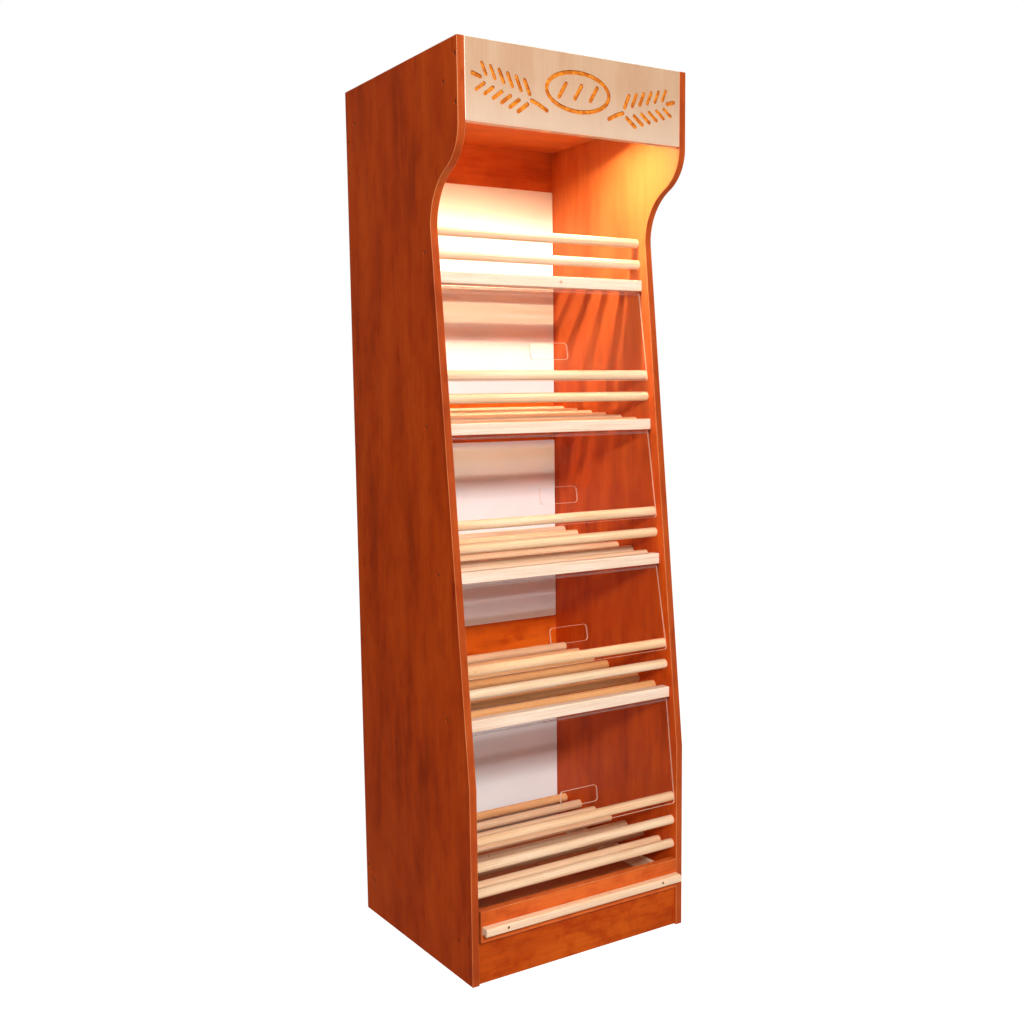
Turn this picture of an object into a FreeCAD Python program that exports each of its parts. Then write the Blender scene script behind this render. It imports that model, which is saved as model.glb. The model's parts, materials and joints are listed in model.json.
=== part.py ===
import FreeCAD, Part
import math
import os

# Bakery bread rack: a tall lit cabinet with four sloping rod shelves, a flat bottom
# shelf, clear hinged flaps and a crumb drawer.
# Millimetres. X is the width, -Y is the front, +Z is up. The origin is on the floor,
# in the middle of the width and of the whole depth with the drawer's handle.

V = FreeCAD.Vector
X_AXIS = V(1, 0, 0)

# ---- Carcass ----
WIDTH = 600.0
HEIGHT = 2000.0
DEPTH = 510.0             # of a side panel at its foot and at its nose
BOARD = 18.0              # laminated chipboard of every brown or pale board

# ---- Side profile ----
KNEE_HEIGHT = 445.0       # the front edge is upright below this and leans back above it
LEAN_DEG = 5.7
NOSE_HEIGHT = 168.0       # the upright nose beside the header, from the top of the cabinet
NOSE_RADIUS = 91.0
WAIST_RADIUS = 118.0

# ---- Header and ceiling ----
HEADER_HEIGHT = 164.0
HEADER_CHAMFER = 1.5
CEILING_DROP = 71.0       # from the top of the cabinet to the ceiling board's upper face

# ---- Back: rails across, with thin white sheets on their front faces ----
TOP_RAIL = 125.0          # height of the rail under the ceiling board
MIDDLE_RAIL = 164.0
MIDDLE_RAIL_TOP = 1310.0  # above the floor
LOWER_RAIL = 162.0
LOWER_RAIL_TOP = 722.0
BOTTOM_RAIL = 41.0        # height of the rail on the base board
SHEET = 3.0
SHEET_LAP = 25.0          # of a sheet's edge over a rail
SHEET_SIDE_GAP = 2.5
SHEET_CORNER = 4.0           # cut off each corner of a sheet

# ---- Base ----
PLINTH_HEIGHT = 96.0
PLINTH_SETBACK = 7.0

# ---- Shelves ----
ROD_DIAMETER = 22.0
SHELF_TILT_DEG = 5.3      # the rods climb towards the back
FIRST_ROD_GAP = 34.0      # from the back sheet to the middle of the rearmost rod
RAIL_SIZE = 25.0          # square batten at the front of a sloping shelf
RAIL_CHAMFER = 1.5
GUARD_PITCH = 50.0        # between the two guard rods, and measured straight up
# The next five have one value for each sloping shelf, from the top one down.
RAIL_HEIGHTS = (1541.0, 1215.0, 895.0, 576.0)  # middle of the front rail
GUARD_RISES = (50.0, 66.0, 62.0, 66.0)         # from there to the lower guard rod
FRONT_INSETS = (33.0, 33.0, 32.0, 26.0)        # of rail and guard rods behind the panel's edge
ROD_COUNTS = (5, 6, 7, 7)
LAST_ROD_GAPS = (57.0, 47.0, 40.0, 49.0)       # from the foremost rod to the front rail
BOTTOM_ROD_HEIGHT = 195.0
BOTTOM_ROD_COUNT = 7
BOTTOM_LAST_GAP = 48.0
BOTTOM_GUARD_INSET = 19.0
BOTTOM_GUARD_HEIGHT = 202.0
BOTTOM_GUARD_PITCH = 59.0
BOTTOM_GUARD_COUNT = 3

# ---- Clear flaps, each hung under a front rail ----
FLAP_THICKNESS = 4.0
FLAP_SIDE_GAP = 3.0
FLAP_CORNER_CHAMFER = 4.0
FLAP_REST_CLEARANCE = 0.3    # from the guard rod that it rests against
FLAP_BELOW_ROD = 13.0        # how far it reaches below that rod's middle
CUTOUT_WIDTH = 102.0
CUTOUT_HEIGHT = 37.0
CUTOUT_RADIUS = 8.0
CUTOUT_ABOVE_EDGE = 49.0
PIVOT_BAR_DIAMETER = 10.0
PIVOT_BAR_DROP = 1.0         # gap between the bar and the rail above it
PIVOT_AHEAD = 5.0            # of the middle of the rail
PIVOT_REACH = 8.0            # of the bar's ends into the side panels
PIVOT_CLEARANCE = 0.1        # round a bar's end in its hole
PIVOT_END_GAP = 0.5          # from the bar's end to the bottom of its hole

# ---- Crumb drawer ----
DRAWER_FRONT_HEIGHT = 71.5
DRAWER_GAP = 2.5             # above the plinth
DRAWER_FRONT_SIDE_GAP = 3.0
DRAWER_PROUD = 5.0           # of the panels' front edges
DRAWER_CHAMFER = 1.0
DRAWER_SIDE = 12.0
DRAWER_SIDE_HEIGHT = 42.0
DRAWER_SIDE_RAISE = 2.5      # the box's lower edge above the front board's
DRAWER_REAR_GAP = 26.0       # from the drawer's box to the back sheet
RUNNER_GAP = 12.5            # between the drawer's side and the cabinet's
DRAWER_BOTTOM = 4.0
DRAWER_BOTTOM_RAISE = 4.0    # above the sides' lower edge
GROOVE_DEPTH = 5.0
GROOVE_CLEARANCE = 0.2
RUNNER_HEIGHT = 24.0
RUNNER_WALL = 2.5
RUNNER_REACH = 11.0
RUNNER_RAISE = 7.0           # above the drawer sides' lower edge
RUNNER_FRONT_SETBACK = 20.0
RUNNER_REAR_GAP = 16.0       # from the runner's end to the back sheet
SLIDE_CLEARANCE = 0.3        # under the slide bar
SLIDE_PLAY = 0.7             # over and beside the slide bar

# ---- Drawer handle ----
HANDLE_DEPTH = 20.0
HANDLE_HEIGHT = 18.0
HANDLE_RAISE = 20.0          # above the drawer front's lower edge
HANDLE_END_GAP = 5.0         # from the side panel
HANDLE_TOP_RADIUS = 6.0
HANDLE_LIP_RADIUS = 3.0
HANDLE_GROOVE_RADIUS = 5.0
HANDLE_GROOVE_OUT = 7.5      # from the drawer front
HANDLE_SCREW_INSET = 57.0    # from the handle's end
HANDLE_SCREW_RAISE = 10.0    # above the handle's lower face

# ---- Lamp ----
LAMP_BACK = 121.0            # from the front of the cabinet to the tube's middle
BATTEN_LENGTH = 500.0
BATTEN_WIDTH = 40.0
BATTEN_HEIGHT = 32.0
BATTEN_NARROWING = 8.0
TUBE_DIAMETER = 26.0
TUBE_LENGTH = 438.0
TUBE_CAP = 12.0
TUBE_GAP = 2.0               # under the ceiling board
TUBE_TO_BATTEN = 8.0         # gap between the tube and the batten behind it
HOLDER_THICKNESS = 13.0
HOLDER_WIDTH = 26.0
HOLDER_CLEARANCE = 0.2
LEAD_HOLE_DIAMETER = 12.0    # in the ceiling board, for the lamp's lead
LEAD_HOLE_BEHIND = 20.0      # the batten

# ---- Screws ----
SCREW_SIDES = 6              # screws and their holes are six-sided, to keep the model light
SCREW_LENGTH = 50.0
SCREW_DIAMETER = 5.0
SCREW_HEAD_DIAMETER = 10.0
SCREW_HEAD = 3.0
SCREW_CLEARANCE = 0.1
HEADER_SCREW_MARGIN = 35.0
RAIL_SCREW_MARGIN = 26.0
CEILING_SCREW_FRONT = 56.0
CEILING_SCREW_BACK = 44.0
PLINTH_SCREW_HEIGHT = 35.0
HANDLE_SCREW_LENGTH = 32.0
HANDLE_SCREW_DIAMETER = 4.0
HANDLE_SCREW_HEAD_DIAMETER = 8.0
HANDLE_SCREW_HEAD = 2.5

# ---- Places worked out from the sizes above ----
HALF = WIDTH / 2
INNER = HALF - BOARD
BACK_Y = (DEPTH + DRAWER_PROUD + HANDLE_DEPTH) / 2
FRONT_Y = BACK_Y - DEPTH
LEAN = math.radians(LEAN_DEG)
TILT = math.radians(SHELF_TILT_DEG)
ROD_RADIUS = ROD_DIAMETER / 2
RAIL_Y = BACK_Y - BOARD                 # front face of the back rails
SHEET_Y = RAIL_Y - SHEET                # front face of the white sheets
FIRST_ROD_Y = SHEET_Y - FIRST_ROD_GAP
CEILING_TOP = HEIGHT - CEILING_DROP
CEILING_UNDER = CEILING_TOP - BOARD
DRAWER_Y = FRONT_Y - DRAWER_PROUD       # front face of the drawer's front board
DRAWER_BACK_Y = DRAWER_Y + BOARD        # rear face of that board
DRAWER_Z = PLINTH_HEIGHT + DRAWER_GAP
BOX_Z = DRAWER_Z + DRAWER_SIDE_RAISE
BOX_X = INNER - RUNNER_GAP
BOX_END_Y = SHEET_Y - DRAWER_REAR_GAP
RUNNER_Z = BOX_Z + RUNNER_RAISE


def front_edge(height):
    """Y of the side panel's leaning front edge at a height."""
    return FRONT_Y + (height - KNEE_HEIGHT) * math.tan(LEAN)


def block(x0, x1, y0, y1, z0, z1):
    """A box between two corners."""
    return Part.makeBox(x1 - x0, y1 - y0, z1 - z0, V(x0, y0, z0))


def bar_x(radius, x0, x1, y, z):
    """A round bar along X."""
    return Part.makeCylinder(radius, x1 - x0, V(x0, y, z), X_AXIS)


def mirrored(shape):
    """The same piece on the other side of the cabinet."""
    return shape.mirror(V(0, 0, 0), X_AXIS)


def both_sides(shape):
    """A piece with its mirror image."""
    return [shape, mirrored(shape)]


def along_x_edges(shape, y, z):
    """The edges that run along X through a point of the section."""
    found = []
    for edge in shape.Edges:
        start, end = edge.Vertexes[0].Point, edge.Vertexes[-1].Point
        on_line = all(abs(p.y - y) < 1e-6 and abs(p.z - z) < 1e-6 for p in (start, end))
        if on_line:
            found.append(edge)
    return found


def rounded_sheet(width, height, thickness, corner):
    """A sheet with round corners, centred on X and Y = 0, hanging down from Z = 0."""
    sheet = block(-width / 2, width / 2, -thickness / 2, thickness / 2, -height, 0)
    upright_to_sheet = [e for e in sheet.Edges if abs(e.Vertexes[0].Y - e.Vertexes[-1].Y) > 1e-6]
    return sheet.makeFillet(corner, upright_to_sheet)


# ---- Shelf geometry ----

def shelf_places(rail_height, guard_rise, inset, rod_count, last_gap):
    """Middle lines, as (y, z), of a sloping shelf's rail, guard rods and rods."""
    rail = (front_edge(rail_height) + inset, rail_height)
    guards = []
    for step in range(2):
        guard_height = rail_height + guard_rise + step * GUARD_PITCH
        guards.append((front_edge(guard_height) + inset, guard_height))
    pitch = (FIRST_ROD_Y - rail[0] - last_gap) / (rod_count - 1)
    level = rail_height + RAIL_SIZE / 2 - ROD_RADIUS
    rods = []
    for number in range(rod_count):
        y = FIRST_ROD_Y - number * pitch
        rods.append((y, level + (y - rail[0]) * math.tan(TILT)))
    return rail, guards, rods


def bottom_places():
    """Middle lines of the bottom shelf's upright row of front rods and of its rods."""
    y_front = FRONT_Y + BOTTOM_GUARD_INSET
    guards = [(y_front, BOTTOM_GUARD_HEIGHT + step * BOTTOM_GUARD_PITCH)
              for step in range(BOTTOM_GUARD_COUNT)]
    pitch = (FIRST_ROD_Y - y_front - BOTTOM_LAST_GAP) / (BOTTOM_ROD_COUNT - 1)
    rods = [(FIRST_ROD_Y - number * pitch, BOTTOM_ROD_HEIGHT) for number in range(BOTTOM_ROD_COUNT)]
    return guards, rods


PLACES = [shelf_places(*sizes) for sizes in
          zip(RAIL_HEIGHTS, GUARD_RISES, FRONT_INSETS, ROD_COUNTS, LAST_ROD_GAPS)]
BOTTOM_GUARDS, BOTTOM_RODS = bottom_places()


def flap_places(number):
    """Pivot line, rest angle from plumb and sheet length of the flap under a shelf's rail."""
    rail = PLACES[number][0]
    pivot = (rail[0] - PIVOT_AHEAD,
             rail[1] - RAIL_SIZE / 2 - PIVOT_BAR_DROP - PIVOT_BAR_DIAMETER / 2)
    if number + 1 < len(PLACES):
        stop = PLACES[number + 1][1][-1]
    else:
        stop = BOTTOM_GUARDS[-1]
    back, drop = stop[0] - pivot[0], pivot[1] - stop[1]
    stand_off = ROD_RADIUS + FLAP_REST_CLEARANCE + FLAP_THICKNESS / 2
    angle = math.asin(stand_off / math.hypot(back, drop)) - math.atan2(back, drop)
    length = (drop + FLAP_BELOW_ROD) / math.cos(angle)
    return pivot, angle, length


FLAPS = [flap_places(number) for number in range(len(PLACES))]


# ---- Back rails and sheets ----

RAIL_SPANS = dict(
    top=(CEILING_UNDER - TOP_RAIL, CEILING_UNDER),
    middle=(MIDDLE_RAIL_TOP - MIDDLE_RAIL, MIDDLE_RAIL_TOP),
    lower=(LOWER_RAIL_TOP - LOWER_RAIL, LOWER_RAIL_TOP),
    bottom=(PLINTH_HEIGHT, PLINTH_HEIGHT + BOTTOM_RAIL),
)
SHEET_SPANS = dict(
    upper=(RAIL_SPANS["middle"][1] - SHEET_LAP, RAIL_SPANS["top"][0] + SHEET_LAP),
    middle=(RAIL_SPANS["lower"][1] - SHEET_LAP, RAIL_SPANS["middle"][0] + SHEET_LAP),
    lower=(RAIL_SPANS["bottom"][1] - SHEET_LAP, RAIL_SPANS["lower"][0] + SHEET_LAP),
)


# ---- Screws through the side panels ----

def screw_places():
    """(y, z) of every screw in one side panel, with the places grouped by the piece that it holds."""
    header_y = FRONT_Y + BOARD / 2
    rail_y = BACK_Y - BOARD / 2
    ceiling_z = CEILING_UNDER + BOARD / 2
    base_z = PLINTH_HEIGHT - BOARD / 2
    plinth_y = FRONT_Y + PLINTH_SETBACK + BOARD / 2
    places = dict(
        header=[(header_y, HEIGHT - HEADER_SCREW_MARGIN),
                (header_y, HEIGHT - HEADER_HEIGHT + HEADER_SCREW_MARGIN)],
        ceiling=[(FRONT_Y + CEILING_SCREW_FRONT, ceiling_z), (BACK_Y - CEILING_SCREW_BACK, ceiling_z)],
        base=[(FRONT_Y + CEILING_SCREW_FRONT, base_z), (BACK_Y - CEILING_SCREW_BACK, base_z)],
        plinth=[(plinth_y, PLINTH_SCREW_HEIGHT)],
        guards=[PLACES[0][1][0]],
        rods=[rods[-1] for rail, guards, rods in PLACES[1:]],
    )
    for name, (low, high) in RAIL_SPANS.items():
        if high - low > 3 * RAIL_SCREW_MARGIN:
            places[name] = [(rail_y, low + RAIL_SCREW_MARGIN), (rail_y, high - RAIL_SCREW_MARGIN)]
        else:
            places[name] = [(rail_y, (low + high) / 2)]
    return places


SCREWS = screw_places()


def flat_sided(rings):
    """A solid with flat sides between rings of corners, closed at both ends."""
    faces = [Part.Face(Part.makePolygon(ring + [ring[0]])) for ring in (rings[0], rings[-1])]
    for here, beyond in zip(rings, rings[1:]):
        for number in range(len(here)):
            corners = [here[number - 1], here[number], beyond[number], beyond[number - 1]]
            faces.append(Part.Face(Part.makePolygon(corners + [corners[0]])))
    solid = Part.Solid(Part.Shell(faces))
    if solid.Volume < 0:
        solid.reverse()
    return solid


def countersunk(length, shank, head, head_height, gap):
    """A screw along +X with its head's face at the origin, or with a gap the hole for it."""
    rings = []
    for along, diameter in ((0, head), (head_height, shank), (length + gap, shank)):
        radius = diameter / 2 + gap
        turns = [2 * math.pi * number / SCREW_SIDES for number in range(SCREW_SIDES)]
        rings.append([V(along, radius * math.cos(turn), radius * math.sin(turn)) for turn in turns])
    return flat_sided(rings)


def panel_screw(place, gap=0.0):
    """A screw that enters the right side panel from outside, or its hole."""
    screw = countersunk(SCREW_LENGTH, SCREW_DIAMETER, SCREW_HEAD_DIAMETER, SCREW_HEAD, gap)
    screw.rotate(V(0, 0, 0), V(0, 0, 1), 180)
    screw.translate(V(HALF, *place))
    return screw


def drilled(shape, group):
    """A board or rod with the pilot holes of its screws in both ends."""
    for place in SCREWS[group]:
        for hole in both_sides(panel_screw(place, SCREW_CLEARANCE)):
            if hole.BoundBox.intersect(shape.BoundBox):
                shape = shape.cut(hole)
    return shape


# ---- Pieces of the cabinet ----

def side_profile():
    """Outline of a side panel in the YZ plane at X = 0, with the nose and waist as tangent arcs."""
    nose_centre = V(0, FRONT_Y + NOSE_RADIUS, HEIGHT - NOSE_HEIGHT)
    knee = V(0, FRONT_Y, KNEE_HEIGHT)
    outward = V(0, -math.cos(LEAN), math.sin(LEAN))
    reach = (nose_centre - knee).dot(outward)
    radii = NOSE_RADIUS + WAIST_RADIUS
    turn = math.acos((WAIST_RADIUS - reach) / radii) - LEAN

    def on_nose(angle):
        return nose_centre - V(0, math.cos(angle), math.sin(angle)) * NOSE_RADIUS

    waist_centre = nose_centre - V(0, math.cos(turn), math.sin(turn)) * radii
    waist_end = waist_centre - outward * WAIST_RADIUS
    half_way = (turn - LEAN) / 2
    waist_middle = waist_centre + V(0, math.cos(half_way), math.sin(half_way)) * WAIST_RADIUS
    edges = [
        Part.LineSegment(V(0, BACK_Y, 0), V(0, FRONT_Y, 0)),
        Part.LineSegment(V(0, FRONT_Y, 0), knee),
        Part.LineSegment(knee, waist_end),
        Part.Arc(waist_end, waist_middle, on_nose(turn)),
        Part.Arc(on_nose(turn), on_nose(turn / 2), on_nose(0)),
        Part.LineSegment(on_nose(0), V(0, FRONT_Y, HEIGHT)),
        Part.LineSegment(V(0, FRONT_Y, HEIGHT), V(0, BACK_Y, HEIGHT)),
        Part.LineSegment(V(0, BACK_Y, HEIGHT), V(0, BACK_Y, 0)),
    ]
    return Part.Face(Part.Wire([edge.toShape() for edge in edges]))


def right_panel():
    """Side panel with the blind holes that the flaps' bars turn in, and its screw holes."""
    panel = side_profile().extrude(V(BOARD, 0, 0))
    panel.translate(V(INNER, 0, 0))
    radius = PIVOT_BAR_DIAMETER / 2 + PIVOT_CLEARANCE
    hole_end = INNER + PIVOT_REACH + PIVOT_END_GAP
    cutters = [bar_x(radius, INNER, hole_end, *pivot) for pivot, angle, length in FLAPS]
    for group in SCREWS.values():
        cutters.extend(panel_screw(place, SCREW_CLEARANCE) for place in group)
    return panel.cut(Part.makeCompound(cutters))


def header_board():
    header = block(-INNER, INNER, FRONT_Y, FRONT_Y + BOARD, HEIGHT - HEADER_HEIGHT, HEIGHT)
    lower_edge = along_x_edges(header, FRONT_Y, HEIGHT - HEADER_HEIGHT)
    return drilled(header.makeChamfer(HEADER_CHAMFER, lower_edge), "header")


def lamp_y():
    return FRONT_Y + LAMP_BACK


def lead_hole_place():
    return V(0, batten_front() + BATTEN_WIDTH + LEAD_HOLE_BEHIND, CEILING_UNDER)


def ceiling_board():
    board = block(-INNER, INNER, FRONT_Y + BOARD, BACK_Y, CEILING_UNDER, CEILING_TOP)
    hole = Part.makeCylinder(LEAD_HOLE_DIAMETER / 2, BOARD, lead_hole_place())
    return drilled(board.cut(hole), "ceiling")


def back_rail(name):
    low, high = RAIL_SPANS[name]
    return drilled(block(-INNER, INNER, RAIL_Y, BACK_Y, low, high), name)


def back_sheet(name):
    low, high = SHEET_SPANS[name]
    half = INNER - SHEET_SIDE_GAP
    sheet = block(-half, half, SHEET_Y, SHEET_Y + SHEET, low, high)
    corners = [e for e in sheet.Edges if abs(e.Vertexes[0].Y - e.Vertexes[-1].Y) > 1e-6]
    return sheet.makeChamfer(SHEET_CORNER, corners)


def plinth_board():
    y = FRONT_Y + PLINTH_SETBACK
    return drilled(block(-INNER, INNER, y, y + BOARD, 0, PLINTH_HEIGHT), "plinth")


def base_board():
    y = FRONT_Y + PLINTH_SETBACK + BOARD
    return drilled(block(-INNER, INNER, y, BACK_Y, PLINTH_HEIGHT - BOARD, PLINTH_HEIGHT), "base")


def rod_row(places, group):
    """Separate rods from panel to panel, with a pilot hole in both ends of each that a screw holds."""
    rods = []
    for place in places:
        piece = bar_x(ROD_RADIUS, -INNER, INNER, *place)
        rods.append(drilled(piece, group) if place in SCREWS[group] else piece)
    return rods


def front_rail(place):
    """Square batten with eased long edges."""
    y, z = place
    half = RAIL_SIZE / 2
    batten = block(-INNER, INNER, y - half, y + half, z - half, z + half)
    long_edges = [e for e in batten.Edges if abs(e.Vertexes[0].X - e.Vertexes[-1].X) > 1e-6]
    return batten.makeChamfer(RAIL_CHAMFER, long_edges)


# ---- Lamp ----

def tube_axis():
    return lamp_y(), CEILING_UNDER - TUBE_GAP - TUBE_DIAMETER / 2


def batten_front():
    return lamp_y() + TUBE_DIAMETER / 2 + TUBE_TO_BATTEN


def lamp_batten():
    """Channel body under the ceiling board behind the tube, with a sloping rear face."""
    y, top = batten_front(), CEILING_UNDER
    low = top - BATTEN_HEIGHT
    corners = [V(0, y, top), V(0, y, low), V(0, y + BATTEN_WIDTH - BATTEN_NARROWING, low),
               V(0, y + BATTEN_WIDTH, top)]
    body = Part.Face(Part.makePolygon(corners + [corners[0]])).extrude(V(BATTEN_LENGTH, 0, 0))
    body.translate(V(-BATTEN_LENGTH / 2, 0, 0))
    return body


def lamp_tube():
    half = TUBE_LENGTH / 2 - TUBE_CAP
    return bar_x(TUBE_DIAMETER / 2, -half, half, *tube_axis())


def tube_cap():
    half = TUBE_LENGTH / 2
    return bar_x(TUBE_DIAMETER / 2, half - TUBE_CAP, half, *tube_axis())


def lamp_holder():
    """Holder on the ceiling board that reaches back to the batten, round at its lower end."""
    y, z = tube_axis()
    start = TUBE_LENGTH / 2 + HOLDER_CLEARANCE
    end = start + HOLDER_THICKNESS
    half = HOLDER_WIDTH / 2
    arm = block(start, end, y - half, batten_front(), z, CEILING_UNDER)
    return arm.fuse(bar_x(half, start, end, y, z)).removeSplitter()


# ---- Flaps, built hanging plumb from their pivot and then leaned against the guard rod ----

def leaned(shape, pivot, angle):
    shape.rotate(V(0, 0, 0), X_AXIS, -math.degrees(angle))
    shape.translate(V(0, *pivot))
    return shape


def flap_sheet(pivot, angle, length):
    """Clear sheet with a rounded hand hole and its two lower corners cut off."""
    half = INNER - FLAP_SIDE_GAP
    sheet = block(-half, half, -FLAP_THICKNESS / 2, FLAP_THICKNESS / 2, -length, 0)
    lower_corners = [e for e in sheet.Edges if all(abs(v.Z + length) < 1e-6 for v in e.Vertexes)
                     and abs(e.Vertexes[0].Y - e.Vertexes[-1].Y) > 1e-6]
    sheet = sheet.makeChamfer(FLAP_CORNER_CHAMFER, lower_corners)
    cutter = rounded_sheet(CUTOUT_WIDTH, CUTOUT_HEIGHT, 2 * FLAP_THICKNESS, CUTOUT_RADIUS)
    cutter.translate(V(0, 0, CUTOUT_ABOVE_EDGE + CUTOUT_HEIGHT - length))
    return leaned(sheet.cut(cutter), pivot, angle)


def flap_pivot_bar(pivot, angle, length):
    """Clear round bar, slotted for the sheet between its two ends, which turn in the side panels."""
    reach = INNER + PIVOT_REACH
    bar = bar_x(PIVOT_BAR_DIAMETER / 2, -reach, reach, 0, 0)
    half = INNER - FLAP_SIDE_GAP
    slot = block(-half, half, -FLAP_THICKNESS / 2, FLAP_THICKNESS / 2, -PIVOT_BAR_DIAMETER, 0)
    return leaned(bar.cut(slot), pivot, angle)


# ---- Drawer ----

def handle_screw_places():
    x = INNER - HANDLE_END_GAP - HANDLE_SCREW_INSET
    z = DRAWER_Z + HANDLE_RAISE + HANDLE_SCREW_RAISE
    return [(-x, z), (x, z)]


def handle_screw(place, gap=0.0):
    """A screw that enters the drawer's handle from the front, or its hole."""
    screw = countersunk(HANDLE_SCREW_LENGTH, HANDLE_SCREW_DIAMETER, HANDLE_SCREW_HEAD_DIAMETER,
                        HANDLE_SCREW_HEAD, gap)
    screw.rotate(V(0, 0, 0), V(0, 0, 1), 90)
    screw.translate(V(place[0], DRAWER_Y - HANDLE_DEPTH, place[1]))
    return screw


def drawer_bottom_level():
    return BOX_Z + DRAWER_BOTTOM_RAISE


def drawer_front():
    """Front board with eased outer edges, a groove for the bottom and the handle's pilot holes."""
    half = INNER - DRAWER_FRONT_SIDE_GAP
    top = DRAWER_Z + DRAWER_FRONT_HEIGHT
    board = block(-half, half, DRAWER_Y, DRAWER_BACK_Y, DRAWER_Z, top)
    outer = [e for e in board.Edges if all(abs(v.Y - DRAWER_Y) < 1e-6 for v in e.Vertexes)]
    board = board.makeChamfer(DRAWER_CHAMFER, outer)
    level = drawer_bottom_level()
    groove_half = BOX_X - DRAWER_SIDE + GROOVE_DEPTH
    groove = block(-groove_half, groove_half, DRAWER_BACK_Y - GROOVE_DEPTH, DRAWER_BACK_Y,
                   level, level + DRAWER_BOTTOM)
    board = board.cut(groove)
    for place in handle_screw_places():
        board = board.cut(handle_screw(place, SCREW_CLEARANCE))
    return board


def drawer_side():
    """Right side of the drawer's box, grooved for the bottom."""
    side = block(BOX_X - DRAWER_SIDE, BOX_X, DRAWER_BACK_Y, BOX_END_Y, BOX_Z, BOX_Z + DRAWER_SIDE_HEIGHT)
    level = drawer_bottom_level()
    groove = block(BOX_X - DRAWER_SIDE, BOX_X - DRAWER_SIDE + GROOVE_DEPTH, DRAWER_BACK_Y, BOX_END_Y,
                   level, level + DRAWER_BOTTOM)
    return side.cut(groove)


def drawer_bottom():
    half = BOX_X - DRAWER_SIDE + GROOVE_DEPTH - GROOVE_CLEARANCE
    level = drawer_bottom_level()
    return block(-half, half, DRAWER_BACK_Y - GROOVE_DEPTH + GROOVE_CLEARANCE, BOX_END_Y,
                 level, level + DRAWER_BOTTOM)


def drawer_back():
    half = BOX_X - DRAWER_SIDE
    return block(-half, half, BOX_END_Y - DRAWER_SIDE, BOX_END_Y,
                 drawer_bottom_level() + DRAWER_BOTTOM, BOX_Z + DRAWER_SIDE_HEIGHT)


def cabinet_runner():
    """Channel on the right side panel, open towards the drawer."""
    y0 = DRAWER_BACK_Y + RUNNER_FRONT_SETBACK
    y1 = SHEET_Y - RUNNER_REAR_GAP
    channel = block(INNER - RUNNER_REACH, INNER, y0, y1, RUNNER_Z, RUNNER_Z + RUNNER_HEIGHT)
    hollow = block(INNER - RUNNER_REACH, INNER - RUNNER_WALL, y0, y1,
                   RUNNER_Z + RUNNER_WALL, RUNNER_Z + RUNNER_HEIGHT - RUNNER_WALL)
    return channel.cut(hollow)


def slide_bar():
    """Bar on the drawer's right side that runs in the channel."""
    return block(BOX_X, INNER - RUNNER_WALL - SLIDE_PLAY, DRAWER_BACK_Y, BOX_END_Y,
                 RUNNER_Z + RUNNER_WALL + SLIDE_CLEARANCE,
                 RUNNER_Z + RUNNER_HEIGHT - RUNNER_WALL - SLIDE_PLAY)


def drawer_handle():
    """Full-width grip with rounded front edges and a finger groove underneath."""
    half = INNER - HANDLE_END_GAP
    low = DRAWER_Z + HANDLE_RAISE
    front, high = DRAWER_Y - HANDLE_DEPTH, low + HANDLE_HEIGHT
    grip = block(-half, half, front, DRAWER_Y, low, high)
    grip = grip.makeFillet(HANDLE_TOP_RADIUS, along_x_edges(grip, front, high))
    grip = grip.makeFillet(HANDLE_LIP_RADIUS, along_x_edges(grip, front, low))
    grip = grip.cut(bar_x(HANDLE_GROOVE_RADIUS, -half, half, DRAWER_Y - HANDLE_GROOVE_OUT, low))
    for place in handle_screw_places():
        grip = grip.cut(handle_screw(place, SCREW_CLEARANCE))
    return grip


# ---- All nodes ----

def all_nodes():
    nodes = {}
    panel = right_panel()
    nodes["side_panel_right"] = panel
    nodes["side_panel_left"] = mirrored(panel)
    nodes["header_board"] = header_board()
    nodes["ceiling_board"] = ceiling_board()
    for name in RAIL_SPANS:
        nodes[name + "_back_rail"] = back_rail(name)
    for name in SHEET_SPANS:
        nodes[name + "_back_sheet"] = back_sheet(name)
    nodes["plinth_board"] = plinth_board()
    nodes["base_board"] = base_board()

    for number, (rail, guards, rods) in enumerate(PLACES, start=1):
        shelf = "shelf_%d_" % number
        nodes[shelf + "front_rail"] = front_rail(rail)
        nodes[shelf + "guard_rods"] = rod_row(guards, "guards")
        nodes[shelf + "rods"] = rod_row(rods, "rods")
    nodes["bottom_shelf_front_rods"] = rod_row(BOTTOM_GUARDS, "guards")
    nodes["bottom_shelf_rods"] = rod_row(BOTTOM_RODS, "rods")

    for number, flap in enumerate(FLAPS, start=1):
        nodes["flap_%d_sheet" % number] = flap_sheet(*flap)
        nodes["flap_%d_pivot_bar" % number] = flap_pivot_bar(*flap)

    nodes["lamp_batten"] = lamp_batten()
    nodes["lamp_tube"] = lamp_tube()
    nodes["lamp_tube_caps"] = both_sides(tube_cap())
    nodes["lamp_holders"] = both_sides(lamp_holder())

    nodes["carcass_screws"] = [piece for group in SCREWS.values() for place in group
                               for piece in both_sides(panel_screw(place))]

    nodes["drawer_front"] = drawer_front()
    nodes["drawer_handle"] = drawer_handle()
    nodes["drawer_handle_screws"] = [handle_screw(place) for place in handle_screw_places()]
    nodes["drawer_bottom"] = drawer_bottom()
    nodes["drawer_back"] = drawer_back()
    for name, piece in (("drawer_side", drawer_side()), ("drawer_slide_bar", slide_bar()),
                        ("cabinet_runner", cabinet_runner())):
        nodes[name + "_right"] = piece
        nodes[name + "_left"] = mirrored(piece)
    return nodes


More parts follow.
